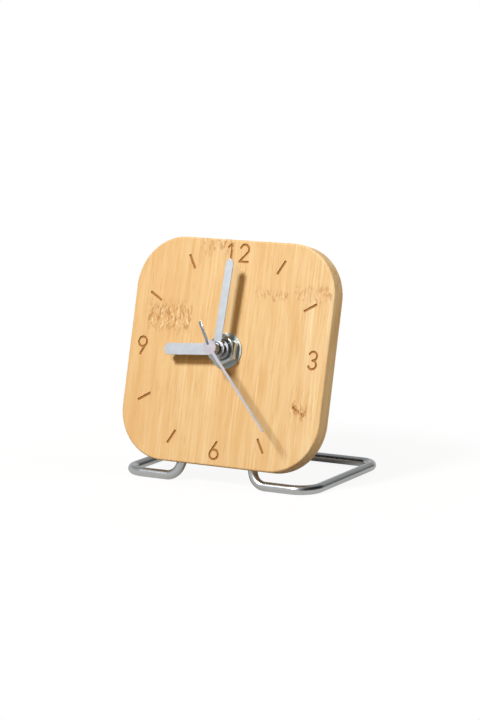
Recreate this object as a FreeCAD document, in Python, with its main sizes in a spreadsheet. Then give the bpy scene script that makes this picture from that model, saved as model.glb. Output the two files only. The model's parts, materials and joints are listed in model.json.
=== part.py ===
import FreeCAD, Part
import math
import os
import re

import Sketcher
from FreeCAD import Placement, Rotation, Vector

# Wooden desk clock: a square bamboo board leans back on a bent wire stand and carries a battery movement.
# Millimetres, +Z up, the dial looks along -Y. The origin is on the table, in the middle of the stand.
# The board and all that it carries are drawn in the board's own frame, with its origin where the hands' axis
# meets the front face: x to the right, y up the board, z out of the dial.

FRONT_SIZES = {
    # Board
    "board_side": 95.0,
    "board_thickness": 8.0,
    "board_corner": 22.0,
    "board_edge_round": 0.8,
    "lean_angle": 15.0,
    "shaft_rise": 0.8,
    "shaft_hole": 8.4,
    # Engraved marks
    "engraving_depth": 0.4,
    "tick_outer": 46.2,
    "tick_length": 6.7,
    "tick_width": 1.1,
    "numeral_reach": 41.0,
    "twelve_reach": 42.0,
    "numeral_height": 8.2,
    "numeral_width": 5.0,
    "numeral_stroke": 1.0,
    # Wire stand
    "wire_diameter": 4.0,
    "stand_width": 89.6,
    "stand_depth": 60.3,
    "front_bend": 9.0,
    "rear_bend": 7.0,
    "leg_bend": 6.5,
    "leg_spread": 17.2,
    "leg_drop": 5.8,
    "leg_depth": 14.0,
    "leg_toe_in": 18.0,
    "leg_clearance": 0.05,
    # Fastening of the movement
    "washer_diameter": 15.0,
    "washer_thickness": 0.6,
    "washer_clearance": 0.2,
    "nut_flats": 12.0,
    "nut_thickness": 4.0,
    "nut_bevel": 0.7,
    "thread_diameter": 7.9,
    "thread_pitch": 0.75,
    "thread_depth": 0.35,
    "thread_turns": 17,
    "bushing_reach": 5.1,
    "flange_diameter": 10.0,
    "flange_thickness": 0.8,
    "gasket_diameter": 30.0,
    "gasket_thickness": 1.0,
    "gasket_clearance": 0.1,
    # Hands
    "hour_angle": 266.2,
    "hour_length": 26.8,
    "hour_width": 4.9,
    "hour_height": 5.7,
    "hour_hub": 8.6,
    "hour_collar": 7.0,
    "hour_collar_drop": 0.3,
    "minute_angle": 2.3,
    "minute_length": 38.0,
    "minute_width": 3.6,
    "minute_height": 8.1,
    "minute_hub": 7.4,
    "minute_collar": 6.4,
    "minute_collar_drop": 1.2,
    "second_angle": 137.2,
    "second_length": 43.9,
    "second_width": 1.3,
    "second_tip": 0.7,
    "second_height": 14.0,
    "second_hub": 6.2,
    "second_collar": 4.8,
    "second_collar_drop": 4.6,
    "tail_angle": 329.5,
    "tail_length": 11.9,
    "hand_tip": 1.6,
    "hand_thickness": 0.4,
    "collar_rise": 0.6,
}

MOVEMENT_SIZES = {
    # Case
    "train_room": 53.2,
    "case_depth": 16.5,
    "case_corner": 4.0,
    "case_wall": 1.4,
    "case_plate": 1.2,
    "cover_thickness": 1.6,
    "rim_height": 1.4,
    "rim_wall": 1.0,
    "rim_clearance": 0.1,
    "partition": 1.2,
    # Battery and its contacts
    "cell_diameter": 14.2,
    "cell_length": 49.5,
    "cell_round": 0.6,
    "cell_button": 5.5,
    "button_height": 1.2,
    "bay_clearance": 0.3,
    "contact_thickness": 0.4,
    "contact_width": 10.0,
    "contact_height": 12.0,
    "leaf_height": 9.0,
    "leaf_width": 5.0,
    "leaf_bow": 0.9,
    "contact_rib": 0.8,
    # Running fits and wheel levels
    "running_clearance": 0.05,
    "wheel_thickness": 0.75,
    "level_gap": 0.45,
    "plate_thickness": 1.0,
    "plate_gap": 0.4,
    "pivot_diameter": 0.8,
    "arbor_diameter": 1.3,
    "pivot_inset": 0.1,
    # Tubes and arbors of the hands
    "hour_tube": 5.0,
    "hour_bore": 3.4,
    "minute_tube": 3.3,
    "minute_bore": 1.1,
    "cannon_tube": 2.3,
    "second_pin": 1.0,
    "tube_stand": 0.3,
    # Wheel train, with the pitch diameters of the wheels
    "centre_diameter": 16.32,
    "second_diameter": 10.0,
    "motion_diameter": 9.0,
    "intermediate_diameter": 10.08,
    "third_direction": 160.0,
    "intermediate_direction": 60.0,
    "motion_direction": -20.0,
    "boss_diameter": 3.0,
    "boss_bore_depth": 1.4,
    "stud_diameter": 1.0,
    # Step motor
    "magnet_diameter": 5.6,
    "magnet_thickness": 1.0,
    "stator_hole": 6.2,
    "stator_eye": 8.2,
    "stator_thickness": 0.8,
    "stator_left": -12.0,
    "stator_right": 22.0,
    "stator_bar_foot": 8.3,
    "stator_bar": 4.0,
    "core_rise": 20.8,
    "core_width": 3.0,
    "coil_diameter": 7.6,
    "bobbin_diameter": 8.8,
    "bobbin_tube": 4.6,
    "bobbin_flange": 0.8,
    "bobbin_gap": 0.3,
    # Plates
    "plate_left": -18.0,
    "plate_right": 21.0,
    "plate_foot": -9.8,
    "plate_top": 15.0,
    "post_diameter": 3.0,
    "post_inset": 2.0,
    "bridge_left": -10.0,
    "bridge_right": 14.0,
    "bridge_foot": -2.2,
    "bridge_top": 13.4,
    "pillar_diameter": 2.2,
    "pillar_inset": 1.8,
    "plate_corner": 1.5,
    "pass_clearance": 0.4,
    # Circuit
    "circuit_left": -26.0,
    "circuit_width": 7.4,
    "circuit_foot": -8.5,
    "circuit_length": 33.0,
    "circuit_thickness": 0.8,
    "circuit_drop": 5.0,
    "chip_side": 5.0,
    "chip_height": 1.1,
    "chip_rise": 8.0,
    "chip_mark": 1.0,
    "chip_mark_depth": 0.3,
    "chip_mark_inset": 1.2,
    "crystal_diameter": 2.0,
    "crystal_length": 6.0,
    "crystal_rise": 19.0,
    "crystal_foot": 1.0,
    "crystal_foot_height": 0.5,
    # Hand setting
    "setting_shaft": 2.6,
    "knob_diameter": 11.0,
    "knob_height": 2.6,
    "knob_gap": 0.4,
    "knob_notch": 1.4,
    "knob_notches": 16,
    # One overrun serves every cut
    "overrun": 1.0,
}

TEETH = {
    "cannon": 12,
    "minute_wheel": 36,
    "minute_pinion": 10,
    "hour_wheel": 40,
    "setting": 24,
    "centre": 64,
    "third_pinion": 8,
    "third": 60,
    "second_pinion": 8,
    "second": 40,
    "intermediate_pinion": 8,
    "intermediate": 36,
    "rotor_pinion": 6,
}

BACKLASH_SHARE = 0.16
ADDENDUM_SHARE = 0.92
DEDENDUM_SHARE = 1.2
PRESSURE_ANGLE = 20.0
HALF_TURN = 180.0
FULL_TURN = 360.0

# How the strokes of the numbers stand inside a number's height and width, and where their arcs start and end
DIGIT_SHARES = {
    "flag_across": 0.8,
    "flag_up": 0.62,
    "stem_across": 0.35,
    "twelve_spread": 0.62,
}
DIGIT_ANGLES = {
    "two_first": -35.0,
    "two_last": 165.0,
    "three_waist": -90.0,
    "three_end": 155.0,
    "shoulder": 165.0,
}

# Edges count as upright or as lying flat within these shares
UPRIGHT_SHARE = 0.99
FLAT_SHARE = 0.001

doc = FreeCAD.newDocument("desk_clock")
sheet = doc.addObject("Spreadsheet::Sheet", "sizes")
cells = []
nodes = []


def add_cell(alias, content):
    cells.append(alias)
    row = len(cells)
    sheet.set("A%d" % row, alias)
    sheet.set("B%d" % row, content)
    sheet.setAlias("B%d" % row, alias)


for alias, value in list(FRONT_SIZES.items()) + list(MOVEMENT_SIZES.items()):
    add_cell(alias, str(value))
for wheel, count in TEETH.items():
    add_cell(wheel + "_teeth", str(count))

# Places that follow from the sizes
DERIVED = {
    "half_board": "board_side / 2",
    "axis_height": "wire_diameter / 2 + (half_board + shaft_rise + leg_drop) * cos(lean_angle)"
                   " + board_thickness / 2 * sin(lean_angle)",
    "run_offset": "(half_board + shaft_rise + leg_drop) * sin(lean_angle)"
                  " - board_thickness / 2 * cos(lean_angle)",
    "axis_depth": "run_offset - stand_depth / 2",
    "board_foot": "0 - half_board - shaft_rise",
    "case_front": "0 - board_thickness - gasket_thickness",
    "case_inner": "case_front - case_plate",
    "case_back": "case_front - case_depth",
    "cover_inner": "case_back + cover_thickness",
    "battery_room": "cell_length + button_height + 2 * contact_thickness + leaf_bow + contact_rib",
    "chamber_half": "max(train_room; battery_room) / 2",
    "case_half": "chamber_half + case_wall",
    "bay_height": "cell_diameter + 2 * bay_clearance",
    "partition_foot": "bay_height - chamber_half",
    "cell_middle": "bay_height / 2 - chamber_half",
    "cell_level": "case_inner - bay_clearance - cell_diameter / 2",
    "cell_start": "chamber_half - contact_thickness - button_height - cell_length",
    "minus_back": "cell_start - leaf_bow - contact_thickness",
    "partition_top": "partition_foot + partition",
    "hour_level": "case_inner - flange_thickness - level_gap - wheel_thickness",
    "motion_level": "hour_level - level_gap - wheel_thickness",
    "centre_level": "motion_level - level_gap - wheel_thickness",
    "third_level": "centre_level - level_gap - wheel_thickness",
    "plate_front": "third_level - plate_gap",
    "plate_back": "plate_front - plate_thickness",
    "second_level": "plate_back - plate_gap - wheel_thickness",
    "rotor_level": "second_level - level_gap - wheel_thickness",
    "bridge_front": "rotor_level - plate_gap",
    "bridge_back": "bridge_front - plate_thickness",
    "centre_module": "centre_diameter / centre_teeth",
    "seconds_module": "second_diameter / second_teeth",
    "motion_module": "motion_diameter / minute_wheel_teeth",
    "rotor_module": "intermediate_diameter / intermediate_teeth",
    "third_module": "centre_module * (centre_teeth + third_pinion_teeth)"
                    " / (third_teeth + second_pinion_teeth)",
    "hour_module": "motion_module * (cannon_teeth + minute_wheel_teeth)"
                   " / (minute_pinion_teeth + hour_wheel_teeth)",
    "third_reach": "centre_module * (centre_teeth + third_pinion_teeth) / 2",
    "intermediate_reach": "seconds_module * (second_teeth + intermediate_pinion_teeth) / 2",
    "rotor_reach": "rotor_module * (intermediate_teeth + rotor_pinion_teeth) / 2",
    "motion_reach": "motion_module * (cannon_teeth + minute_wheel_teeth) / 2",
    "setting_reach": "motion_module * (minute_wheel_teeth + setting_teeth) / 2",
    "third_x": "third_reach * cos(third_direction)",
    "third_y": "third_reach * sin(third_direction)",
    "intermediate_x": "intermediate_reach * cos(intermediate_direction)",
    "intermediate_y": "intermediate_reach * sin(intermediate_direction)",
    "rotor_x": "(intermediate_reach + rotor_reach) * cos(intermediate_direction)",
    "rotor_y": "(intermediate_reach + rotor_reach) * sin(intermediate_direction)",
    "motion_x": "motion_reach * cos(motion_direction)",
    "motion_y": "motion_reach * sin(motion_direction)",
    "setting_x": "(motion_reach + setting_reach) * cos(motion_direction)",
    "setting_y": "(motion_reach + setting_reach) * sin(motion_direction)",
}
for alias, formula in DERIVED.items():
    add_cell(alias, "=" + formula)
doc.recompute()


def size(alias):
    return float(sheet.get(alias))


def bound(text):
    # A size's name gets the sheet's name in front of it, functions stay as they are
    return re.sub("[a-z_]+", lambda found: "sizes." * (found.group() in cells) + found.group(), text)


def place(solid, x="0", y="0", z="0"):
    for axis, text in zip("xyz", (x, y, z)):
        solid.setExpression(".Placement.Base." + axis, bound(text))
    return solid


def cylinder(name, diameter, height, x="0", y="0", z="0"):
    solid = doc.addObject("Part::Cylinder", name)
    solid.setExpression("Radius", bound("(" + diameter + ") / 2"))
    solid.setExpression("Height", bound(height))
    return place(solid, x, y, z)


def lying_cylinder(name, diameter, length, x, y, z):
    solid = cylinder(name, diameter, length, x, y, z)
    solid.Placement = Placement(solid.Placement.Base, Rotation(Vector(0, 1, 0), 90))
    return solid


def box(name, length, width, height, x="0", y="0", z="0"):
    solid = doc.addObject("Part::Box", name)
    solid.setExpression("Length", bound(length))
    solid.setExpression("Width", bound(width))
    solid.setExpression("Height", bound(height))
    return place(solid, x, y, z)


def shaped(name, shape):
    solid = doc.addObject("Part::Feature", name)
    solid.Shape = shape
    return solid


def fused(name, parts):
    solid = doc.addObject("Part::MultiFuse", name)
    solid.Shapes = parts
    return solid


def cut(name, base, tools):
    solid = doc.addObject("Part::Cut", name)
    solid.Base = base
    solid.Tool = tools[0] if len(tools) == 1 else fused(name + "_tools", tools)
    return solid


def new_body(name):
    return doc.addObject("PartDesign::Body", name)


def origin_feature(owner, role):
    return [feature for feature in owner.Origin.OriginFeatures if feature.Role == role][0]


def new_sketch(owner, name, height="0", role="XY_Plane"):
    sketch = owner.newObject("Sketcher::SketchObject", name)
    sketch.AttachmentSupport = [(origin_feature(owner, role), "")]
    sketch.MapMode = "FlatFace"
    if height != "0":
        sketch.setExpression(".AttachmentOffset.Base.z", bound(height))
    return sketch


def constrain_point(sketch, geometry, end, x, y):
    # The origin is point 1 of geometry -1, and the two axes are geometries -1 and -2
    for kind, text, axis in (("DistanceX", x, -2), ("DistanceY", y, -1)):
        if text == "0":
            sketch.addConstraint(Sketcher.Constraint("PointOnObject", geometry, end, axis))
        else:
            index = sketch.addConstraint(Sketcher.Constraint(kind, -1, 1, geometry, end, 1.0))
            sketch.setExpression("Constraints[%d]" % index, bound(text))


def outline(sketch, points):
    # A closed chain of lines, every corner held by its two distances from the origin
    first = sketch.GeometryCount
    count = len(points)
    turn = 2 * math.pi / count
    spots = [Vector(math.cos(turn * step), math.sin(turn * step), 0) for step in range(count)]
    for step in range(count):
        sketch.addGeometry(Part.LineSegment(spots[step], spots[(step + 1) % count]), False)
    for step in range(count):
        following = first + (step + 1) % count
        sketch.addConstraint(Sketcher.Constraint("Coincident", first + step, 2, following, 1))
    for step, (x, y) in enumerate(points):
        constrain_point(sketch, first + step, 1, x, y)


def circle(sketch, diameter, x="0", y="0"):
    geometry = sketch.addGeometry(Part.Circle(Vector(0, 0, 0), Vector(0, 0, 1), 1.0), False)
    constrain_point(sketch, geometry, 3, x, y)
    index = sketch.addConstraint(Sketcher.Constraint("Diameter", geometry, 2.0))
    sketch.setExpression("Constraints[%d]" % index, bound(diameter))


def rectangle(sketch, left, foot, right, top):
    outline(sketch, [(left, foot), (right, foot), (right, top), (left, top)])


def pad(owner, sketch, length):
    feature = owner.newObject("PartDesign::Pad", sketch.Name + "_pad")
    feature.Profile = sketch
    feature.setExpression("Length", bound(length))
    doc.recompute()
    return feature


def pocket(owner, sketch, length, upward=True):
    # A pocket cuts against the sketch's normal unless it is reversed
    before = owner.Shape.Volume
    feature = owner.newObject("PartDesign::Pocket", sketch.Name + "_pocket")
    feature.Profile = sketch
    feature.Reversed = upward
    feature.setExpression("Length", bound(length))
    doc.recompute()
    if owner.Shape.Volume >= before:
        raise RuntimeError(sketch.Name + " cuts nothing")
    return feature


def dress(owner, kind, name, edges, property_name, amount):
    base = owner.Tip
    feature = owner.newObject("PartDesign::" + kind, name)
    feature.Base = (base, edges)
    feature.setExpression(property_name, bound(amount))
    doc.recompute()
    return feature


def upright_edges(shape):
    names = []
    for number, edge in enumerate(shape.Edges, 1):
        start, end = edge.Vertexes[0].Point, edge.Vertexes[-1].Point
        if edge.Curve.TypeId == "Part::GeomLine" and abs((end - start).normalize().z) > UPRIGHT_SHARE:
            names.append("Edge%d" % number)
    return names


def rim_edges(shape):
    names = []
    for number, edge in enumerate(shape.Edges, 1):
        if edge.BoundBox.ZLength < edge.Length * FLAT_SHARE:
            names.append("Edge%d" % number)
    return names


def on_board(solid, label):
    # Everything drawn in the board's frame is turned and lifted with the board
    solid.Label = label
    solid.Placement = Placement(Vector(0, 0, 0), Rotation(Vector(1, 0, 0), 90 - size("lean_angle")))
    solid.setExpression(".Placement.Rotation.Angle", bound("90 - lean_angle"))
    solid.setExpression(".Placement.Base.y", bound("axis_depth"))
    solid.setExpression(".Placement.Base.z", bound("axis_height"))
    nodes.append(solid)
    return solid


# Gears

def tooth_angle(teeth, module, radius):
    # Half of the angle that an involute tooth takes at a radius, below the base circle as on it
    pressure = math.radians(PRESSURE_ANGLE)
    base_radius = teeth * module / 2 * math.cos(pressure)
    local = math.acos(min(1.0, base_radius / radius))
    share = (1 - BACKLASH_SHARE) / 2
    return math.pi / teeth * share + (math.tan(pressure) - pressure) - (math.tan(local) - local)


def gear(name, teeth_alias, module_alias, phase, width, x, y, z):
    teeth = int(size(teeth_alias))
    module = size(module_alias)
    pitch_radius = teeth * module / 2
    root = pitch_radius - DEDENDUM_SHARE * module
    tip = pitch_radius + ADDENDUM_SHARE * module
    profile = []
    for step in range(teeth):
        middle = math.radians(phase) + 2 * math.pi * step / teeth
        flank = [(radius, tooth_angle(teeth, module, radius)) for radius in (root, pitch_radius, tip)]
        for radius, half in flank:
            profile.append((radius, middle - half))
        for radius, half in reversed(flank):
            profile.append((radius, middle + half))
    corners = [Vector(radius * math.cos(angle), radius * math.sin(angle), 0) for radius, angle in profile]
    shape = Part.Face(Part.makePolygon(corners + corners[:1])).extrude(Vector(0, 0, width))
    shape.translate(Vector(size(x) if x else 0, size(y) if y else 0, z))
    return shaped(name, shape)


def meshed_phase(phase, teeth_alias, direction, other_alias):
    # The angle of a tooth on the other wheel, so that it stands in a gap of this one
    teeth = size(teeth_alias)
    other = size(other_alias)
    return direction + HALF_TURN - (phase - direction) * teeth / other + HALF_TURN / other


# Board with its holes and engraved marks

def stroke_line(start, end):
    half = size("numeral_stroke") / 2
    deep = size("engraving_depth")
    along = end - start
    bar = Part.makeBox(along.Length, 2 * half, 2 * deep, Vector(0, -half, -deep))
    bar.Placement = Placement(start, Rotation(Vector(1, 0, 0), along))
    ends = [Part.makeCylinder(half, 2 * deep, spot - Vector(0, 0, deep)) for spot in (start, end)]
    return [bar] + ends


def stroke_arc(centre, radius, first, last):
    half = size("numeral_stroke") / 2
    deep = size("engraving_depth")
    foot = Vector(0, 0, -deep)
    ring = Part.makeCylinder(radius + half, 2 * deep, foot, Vector(0, 0, 1), last - first)
    ring = ring.cut(Part.makeCylinder(radius - half, 2 * deep, foot))
    ring.rotate(Vector(0, 0, 0), Vector(0, 0, 1), first)
    ring.translate(centre)
    ends = []
    for angle in (first, last):
        turn = math.radians(angle)
        spot = centre + Vector(radius * math.cos(turn), radius * math.sin(turn), -deep)
        ends.append(Part.makeCylinder(half, 2 * deep, spot))
    return [ring] + ends


def digit_strokes(digit, centre):
    # Plain single-stroke digits, drawn about their middle inside the numeral's height and width
    high = size("numeral_height") / 2 - size("numeral_stroke") / 2
    wide = size("numeral_width") / 2 - size("numeral_stroke") / 2

    def spot(across_share, up_share):
        return centre + Vector(across_share * wide, up_share * high, 0)

    if digit == 1:
        flag = spot(-DIGIT_SHARES["flag_across"], DIGIT_SHARES["flag_up"])
        return stroke_line(spot(0, -1), spot(0, 1)) + stroke_line(spot(0, 1), flag)
    if digit == 2:
        arc_centre = centre + Vector(0, high - wide, 0)
        lowest = math.radians(DIGIT_ANGLES["two_first"])
        end = arc_centre + Vector(wide * math.cos(lowest), wide * math.sin(lowest), 0)
        strokes = stroke_arc(arc_centre, wide, DIGIT_ANGLES["two_first"], DIGIT_ANGLES["two_last"])
        return strokes + stroke_line(end, spot(-1, -1)) + stroke_line(spot(-1, -1), spot(1, -1))
    if digit == 3:
        small = high / 2
        waist = DIGIT_ANGLES["three_waist"]
        end = DIGIT_ANGLES["three_end"]
        strokes = stroke_arc(centre + Vector(0, small, 0), small, waist, end)
        return strokes + stroke_arc(centre - Vector(0, small, 0), small, -end, -waist)
    loop_centre = centre - Vector(0, high - wide, 0)
    shoulder = math.radians(DIGIT_ANGLES["shoulder"])
    start = loop_centre + Vector(wide * math.cos(shoulder), wide * math.sin(shoulder), 0)
    strokes = stroke_arc(loop_centre, wide, 0, FULL_TURN)
    strokes += stroke_line(start, spot(DIGIT_SHARES["stem_across"], 1))
    if digit == 9:
        for stroke in strokes:
            stroke.rotate(centre, Vector(0, 0, 1), HALF_TURN)
    return strokes


def engraved_marks():
    reach = size("numeral_reach")
    middle = -size("shaft_rise")
    spread = size("numeral_width") * DIGIT_SHARES["twelve_spread"]
    numerals = (
        (1, -spread, size("twelve_reach")),
        (2, spread, size("twelve_reach")),
        (3, reach, 0),
        (6, 0, -reach),
        (9, -reach, 0),
    )
    marks = []
    for digit, across, up in numerals:
        marks += digit_strokes(digit, Vector(across, up + middle, 0))
    tick_width = size("tick_width")
    deep = size("engraving_depth")
    hour_turn = FULL_TURN / 12
    for hour in (1, 2, 4, 5, 7, 8, 10, 11):
        foot = Vector(-tick_width / 2, size("tick_outer") - size("tick_length"), -deep)
        tick = Part.makeBox(tick_width, size("tick_length"), 2 * deep, foot)
        tick.rotate(Vector(0, 0, 0), Vector(0, 0, 1), -hour_turn * hour)
        tick.translate(Vector(0, middle, 0))
        marks.append(tick)
    return marks


def leg_line(side):
    # The straight leg of the stand inside the board's plane: where it crosses the edge, and its way up
    toe_in = math.radians(size("leg_toe_in"))
    edge_point = Vector(side * size("leg_spread"), size("board_foot"), -size("board_thickness") / 2)
    return edge_point, Vector(-side * math.sin(toe_in), math.cos(toe_in), 0)


def make_board():
    board = new_body("board_blank")
    face = new_sketch(board, "board_face", "0 - board_thickness")
    rectangle(face, "0 - half_board", "board_foot", "half_board", "half_board - shaft_rise")
    pad(board, face, "board_thickness")
    dress(board, "Fillet", "board_corners", upright_edges(board.Shape), "Radius", "board_corner")
    dress(board, "Fillet", "board_rims", rim_edges(board.Shape), "Radius", "board_edge_round")
    hole = new_sketch(board, "shaft_hole_face", "0 - board_thickness - overrun")
    circle(hole, "shaft_hole")
    pocket(board, hole, "board_thickness + 2 * overrun")
    holes = []
    bore = size("wire_diameter") + 2 * size("leg_clearance")
    for side in (-1, 1):
        edge_point, way = leg_line(side)
        depth = size("leg_depth") + size("leg_clearance") + bore
        holes.append(Part.makeCylinder(bore / 2, depth, edge_point - way * bore, way))
    tools = [shaped("leg_holes", Part.makeCompound(holes)),
             shaped("engraving", Part.makeCompound(engraved_marks()))]
    on_board(cut("board_cut", board, tools), "dial_board")


# Wire stand: one bent wire, both ends up in the board's lower edge

def rounded_path(points, radii):
    edges = []
    start = points[0]
    for before, corner, after, radius in zip(points, points[1:], points[2:], radii):
        back = (before - corner).normalize()
        ahead = (after - corner).normalize()
        half_turn = back.getAngle(ahead) / 2
        reach = radius / math.tan(half_turn)
        centre = corner + (back + ahead).normalize() * (radius / math.sin(half_turn))
        first = corner + back * reach
        last = corner + ahead * reach
        middle = centre + (corner - centre).normalize() * radius
        edges.append(Part.LineSegment(start, first).toShape())
        edges.append(Part.Arc(first, middle, last).toShape())
        start = last
    edges.append(Part.LineSegment(start, points[-1]).toShape())
    return Part.Wire(edges)


def make_wire_stand():
    lean = Placement(Vector(0, size("axis_depth"), size("axis_height")),
                     Rotation(Vector(1, 0, 0), 90 - size("lean_angle")))
    half_width = size("stand_width") / 2
    wire_radius = size("wire_diameter") / 2
    front = -size("stand_depth") / 2
    rear = size("stand_depth") / 2

    def leg_points(side):
        edge_point, way = leg_line(side)
        tip = lean.multVec(edge_point + way * size("leg_depth"))
        foot = lean.multVec(edge_point - way * (size("leg_drop") / way.y))
        return tip, Vector(foot.x, front, wire_radius)

    left_tip, left_foot = leg_points(-1)
    right_tip, right_foot = leg_points(1)
    corners = [Vector(side * half_width, depth, wire_radius) for side, depth in
               ((-1, front), (-1, rear), (1, rear), (1, front))]
    points = [left_tip, left_foot] + corners + [right_foot, right_tip]
    one_side = ["leg_bend", "front_bend", "rear_bend"]
    bends = [size(name) for name in one_side + one_side[::-1]]
    path = rounded_path(points, bends)
    section = Part.Wire(Part.makeCircle(wire_radius, left_tip, left_foot - left_tip))
    wire = path.makePipeShell([section], True, False)
    expected = math.pi * wire_radius ** 2 * path.Length
    print("wire stand volume over section times length: %.4f" % (wire.Volume / expected))
    stand = shaped("stand", wire)
    stand.Label = "wire_stand"
    stand.Placement = Placement()
    nodes.append(stand)


# Nut, washer, bushing and gasket

def ring_body(name, outer, inner, foot, thickness):
    ring = new_body(name)
    face = new_sketch(ring, name + "_face", foot)
    circle(face, outer)
    circle(face, inner)
    pad(ring, face, thickness)
    return ring


def make_nut():
    nut = new_body("nut")
    face = new_sketch(nut, "nut_face", "washer_thickness")
    flat = "nut_flats / 2"
    edge = "nut_flats / 2 * tan(30)"
    point = "nut_flats / 2 / cos(30)"
    outline(face, [(flat, "0 - " + edge), (flat, edge), ("0", point),
                   ("0 - " + flat, edge), ("0 - " + flat, "0 - " + edge), ("0", "0 - " + point)])
    pad(nut, face, "nut_thickness")
    bore = new_sketch(nut, "nut_bore", "washer_thickness - overrun")
    circle(bore, "thread_diameter")
    pocket(nut, bore, "nut_thickness + 2 * overrun")
    for end, base in (("front", "washer_thickness + nut_thickness"), ("back", "washer_thickness")):
        away = "+" if end == "front" else "-"
        inward = "-" if end == "front" else "+"
        corner = new_sketch(nut, "nut_bevel_" + end, role="XZ_Plane")
        start = "(nut_flats / 2 - nut_bevel / 2)"
        drop = " * tan(30)"
        outline(corner, [
            (start, "%s %s overrun%s" % (base, away, drop)),
            ("nut_flats / 2 / cos(30) + overrun", "%s %s overrun%s" % (base, away, drop)),
            ("nut_flats / 2 / cos(30) + overrun", "%s %s (nut_flats / 2 / cos(30) + overrun - %s)%s"
             % (base, inward, start, drop)),
            (start, base)])
        groove = nut.newObject("PartDesign::Groove", "nut_crown_" + end)
        groove.Profile = corner
        groove.ReferenceAxis = (corner, ["V_Axis"])
        groove.Angle = FULL_TURN
        doc.recompute()
    on_board(nut, "hex_nut")


def make_bushing():
    bushing = new_body("bushing")
    half = new_sketch(bushing, "bushing_half", role="XZ_Plane")
    bore = "hour_tube / 2 + running_clearance"
    outline(half, [
        (bore, "case_inner - flange_thickness"),
        ("flange_diameter / 2", "case_inner - flange_thickness"),
        ("flange_diameter / 2", "case_inner"),
        ("thread_diameter / 2", "case_inner"),
        ("thread_diameter / 2", "bushing_reach"),
        (bore, "bushing_reach")])
    turned = bushing.newObject("PartDesign::Revolution", "bushing_turned")
    turned.Profile = half
    turned.ReferenceAxis = (half, ["V_Axis"])
    turned.Angle = FULL_TURN
    doc.recompute()
    thread = new_sketch(bushing, "thread_cut", role="XZ_Plane")
    wide = "thread_diameter / 2 + overrun"
    outline(thread, [
        ("thread_diameter / 2 - thread_depth", "bushing_reach - thread_pitch / 2"),
        (wide, "bushing_reach - thread_pitch / 2 - (overrun + thread_depth) / 2"),
        (wide, "bushing_reach - thread_pitch / 2 + (overrun + thread_depth) / 2")])
    groove = bushing.newObject("PartDesign::Groove", "thread_groove")
    groove.Profile = thread
    groove.ReferenceAxis = (thread, ["V_Axis"])
    groove.Angle = FULL_TURN
    doc.recompute()
    turns = bushing.newObject("PartDesign::LinearPattern", "thread_grooves")
    turns.Originals = [groove]
    turns.Direction = (origin_feature(bushing, "Z_Axis"), [""])
    turns.Reversed = True
    turns.setExpression("Length", bound("thread_pitch * (thread_turns - 1)"))
    turns.setExpression("Occurrences", bound("thread_turns"))
    bushing.Tip = turns
    doc.recompute()
    on_board(bushing, "threaded_bushing")


def make_fastening():
    washer = ring_body("washer", "washer_diameter", "thread_diameter + 2 * washer_clearance",
                       "0", "washer_thickness")
    on_board(washer, "front_washer")
    make_nut()
    make_bushing()
    gasket = ring_body("gasket", "gasket_diameter", "thread_diameter + 2 * gasket_clearance",
                       "case_front", "gasket_thickness")
    on_board(gasket, "rubber_gasket")


# Hands: flat blades with a hub, pressed on their tubes by a collar

def blade(name, bore):
    # The sizes of a hand all begin with its name
    height, length, width = name + "_height", name + "_length", name + "_width"
    drop, angle = name + "_collar_drop", name + "_angle"
    hand = new_body(name + "_blade")
    bar = new_sketch(hand, name + "_bar", height)
    half = width + " / 2"
    outline(bar, [
        ("0 - " + half, "0"), (half, "0"), (half, length + " - hand_tip"),
        ("0", length), ("0 - " + half, length + " - hand_tip")])
    pad(hand, bar, "hand_thickness")
    disc = new_sketch(hand, name + "_disc", height)
    circle(disc, name + "_hub")
    pad(hand, disc, "hand_thickness")
    collar = new_sketch(hand, name + "_ring", "%s - %s" % (height, drop))
    circle(collar, name + "_collar")
    pad(hand, collar, drop + " + collar_rise")
    hole = new_sketch(hand, name + "_hole", "%s - %s - overrun" % (height, drop))
    circle(hole, bore)
    pocket(hand, hole, drop + " + collar_rise + 2 * overrun")
    # The blade is drawn at twelve and turned clockwise to its time, inside the board's frame
    turned = doc.addObject("Part::Compound", name + "_turned")
    turned.Links = [hand]
    hand.Placement = Placement(Vector(0, 0, 0), Rotation(Vector(0, 0, -1), size(angle)))
    hand.setExpression(".Placement.Rotation.Angle", bound(angle))
    on_board(turned, name + "_hand")


def make_hands():
    blade("hour", "hour_tube")
    blade("minute", "minute_tube")
    needle = new_body("second_needle")
    long_side = new_sketch(needle, "needle_side", "second_height")
    outline(long_side, [
        ("0 - second_width / 2", "0"), ("second_width / 2", "0"), ("second_tip / 2", "second_length"),
        ("0 - second_tip / 2", "second_length")])
    pad(needle, long_side, "hand_thickness")
    disc = new_sketch(needle, "needle_disc", "second_height")
    circle(disc, "second_hub")
    pad(needle, disc, "hand_thickness")
    tail = new_sketch(needle, "needle_tail", "second_height")
    lean = "(tail_angle - second_angle)"
    points = []
    for across, along in ((-1, 0), (1, 0), (1, 1), (-1, 1)):
        side = "%d * second_width / 2" % across
        reach = "%d * tail_length" % along
        points.append(("%s * cos%s + %s * sin%s" % (side, lean, reach, lean),
                       "%s * cos%s - %s * sin%s" % (reach, lean, side, lean)))
    outline(tail, points)
    pad(needle, tail, "hand_thickness")
    collar = new_sketch(needle, "needle_ring", "second_height - second_collar_drop")
    circle(collar, "second_collar")
    pad(needle, collar, "second_collar_drop")
    needle.Placement = Placement(Vector(0, 0, 0), Rotation(Vector(0, 0, -1), size("second_angle")))
    needle.setExpression(".Placement.Rotation.Angle", bound("second_angle"))
    bore = cylinder("needle_bore", "second_pin", "second_collar_drop + overrun",
                    z="second_height - second_collar_drop - overrun")
    on_board(cut("second_turned", needle, [bore]), "second_hand")


# Case of the movement, with the posts and bosses that carry the train

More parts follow.
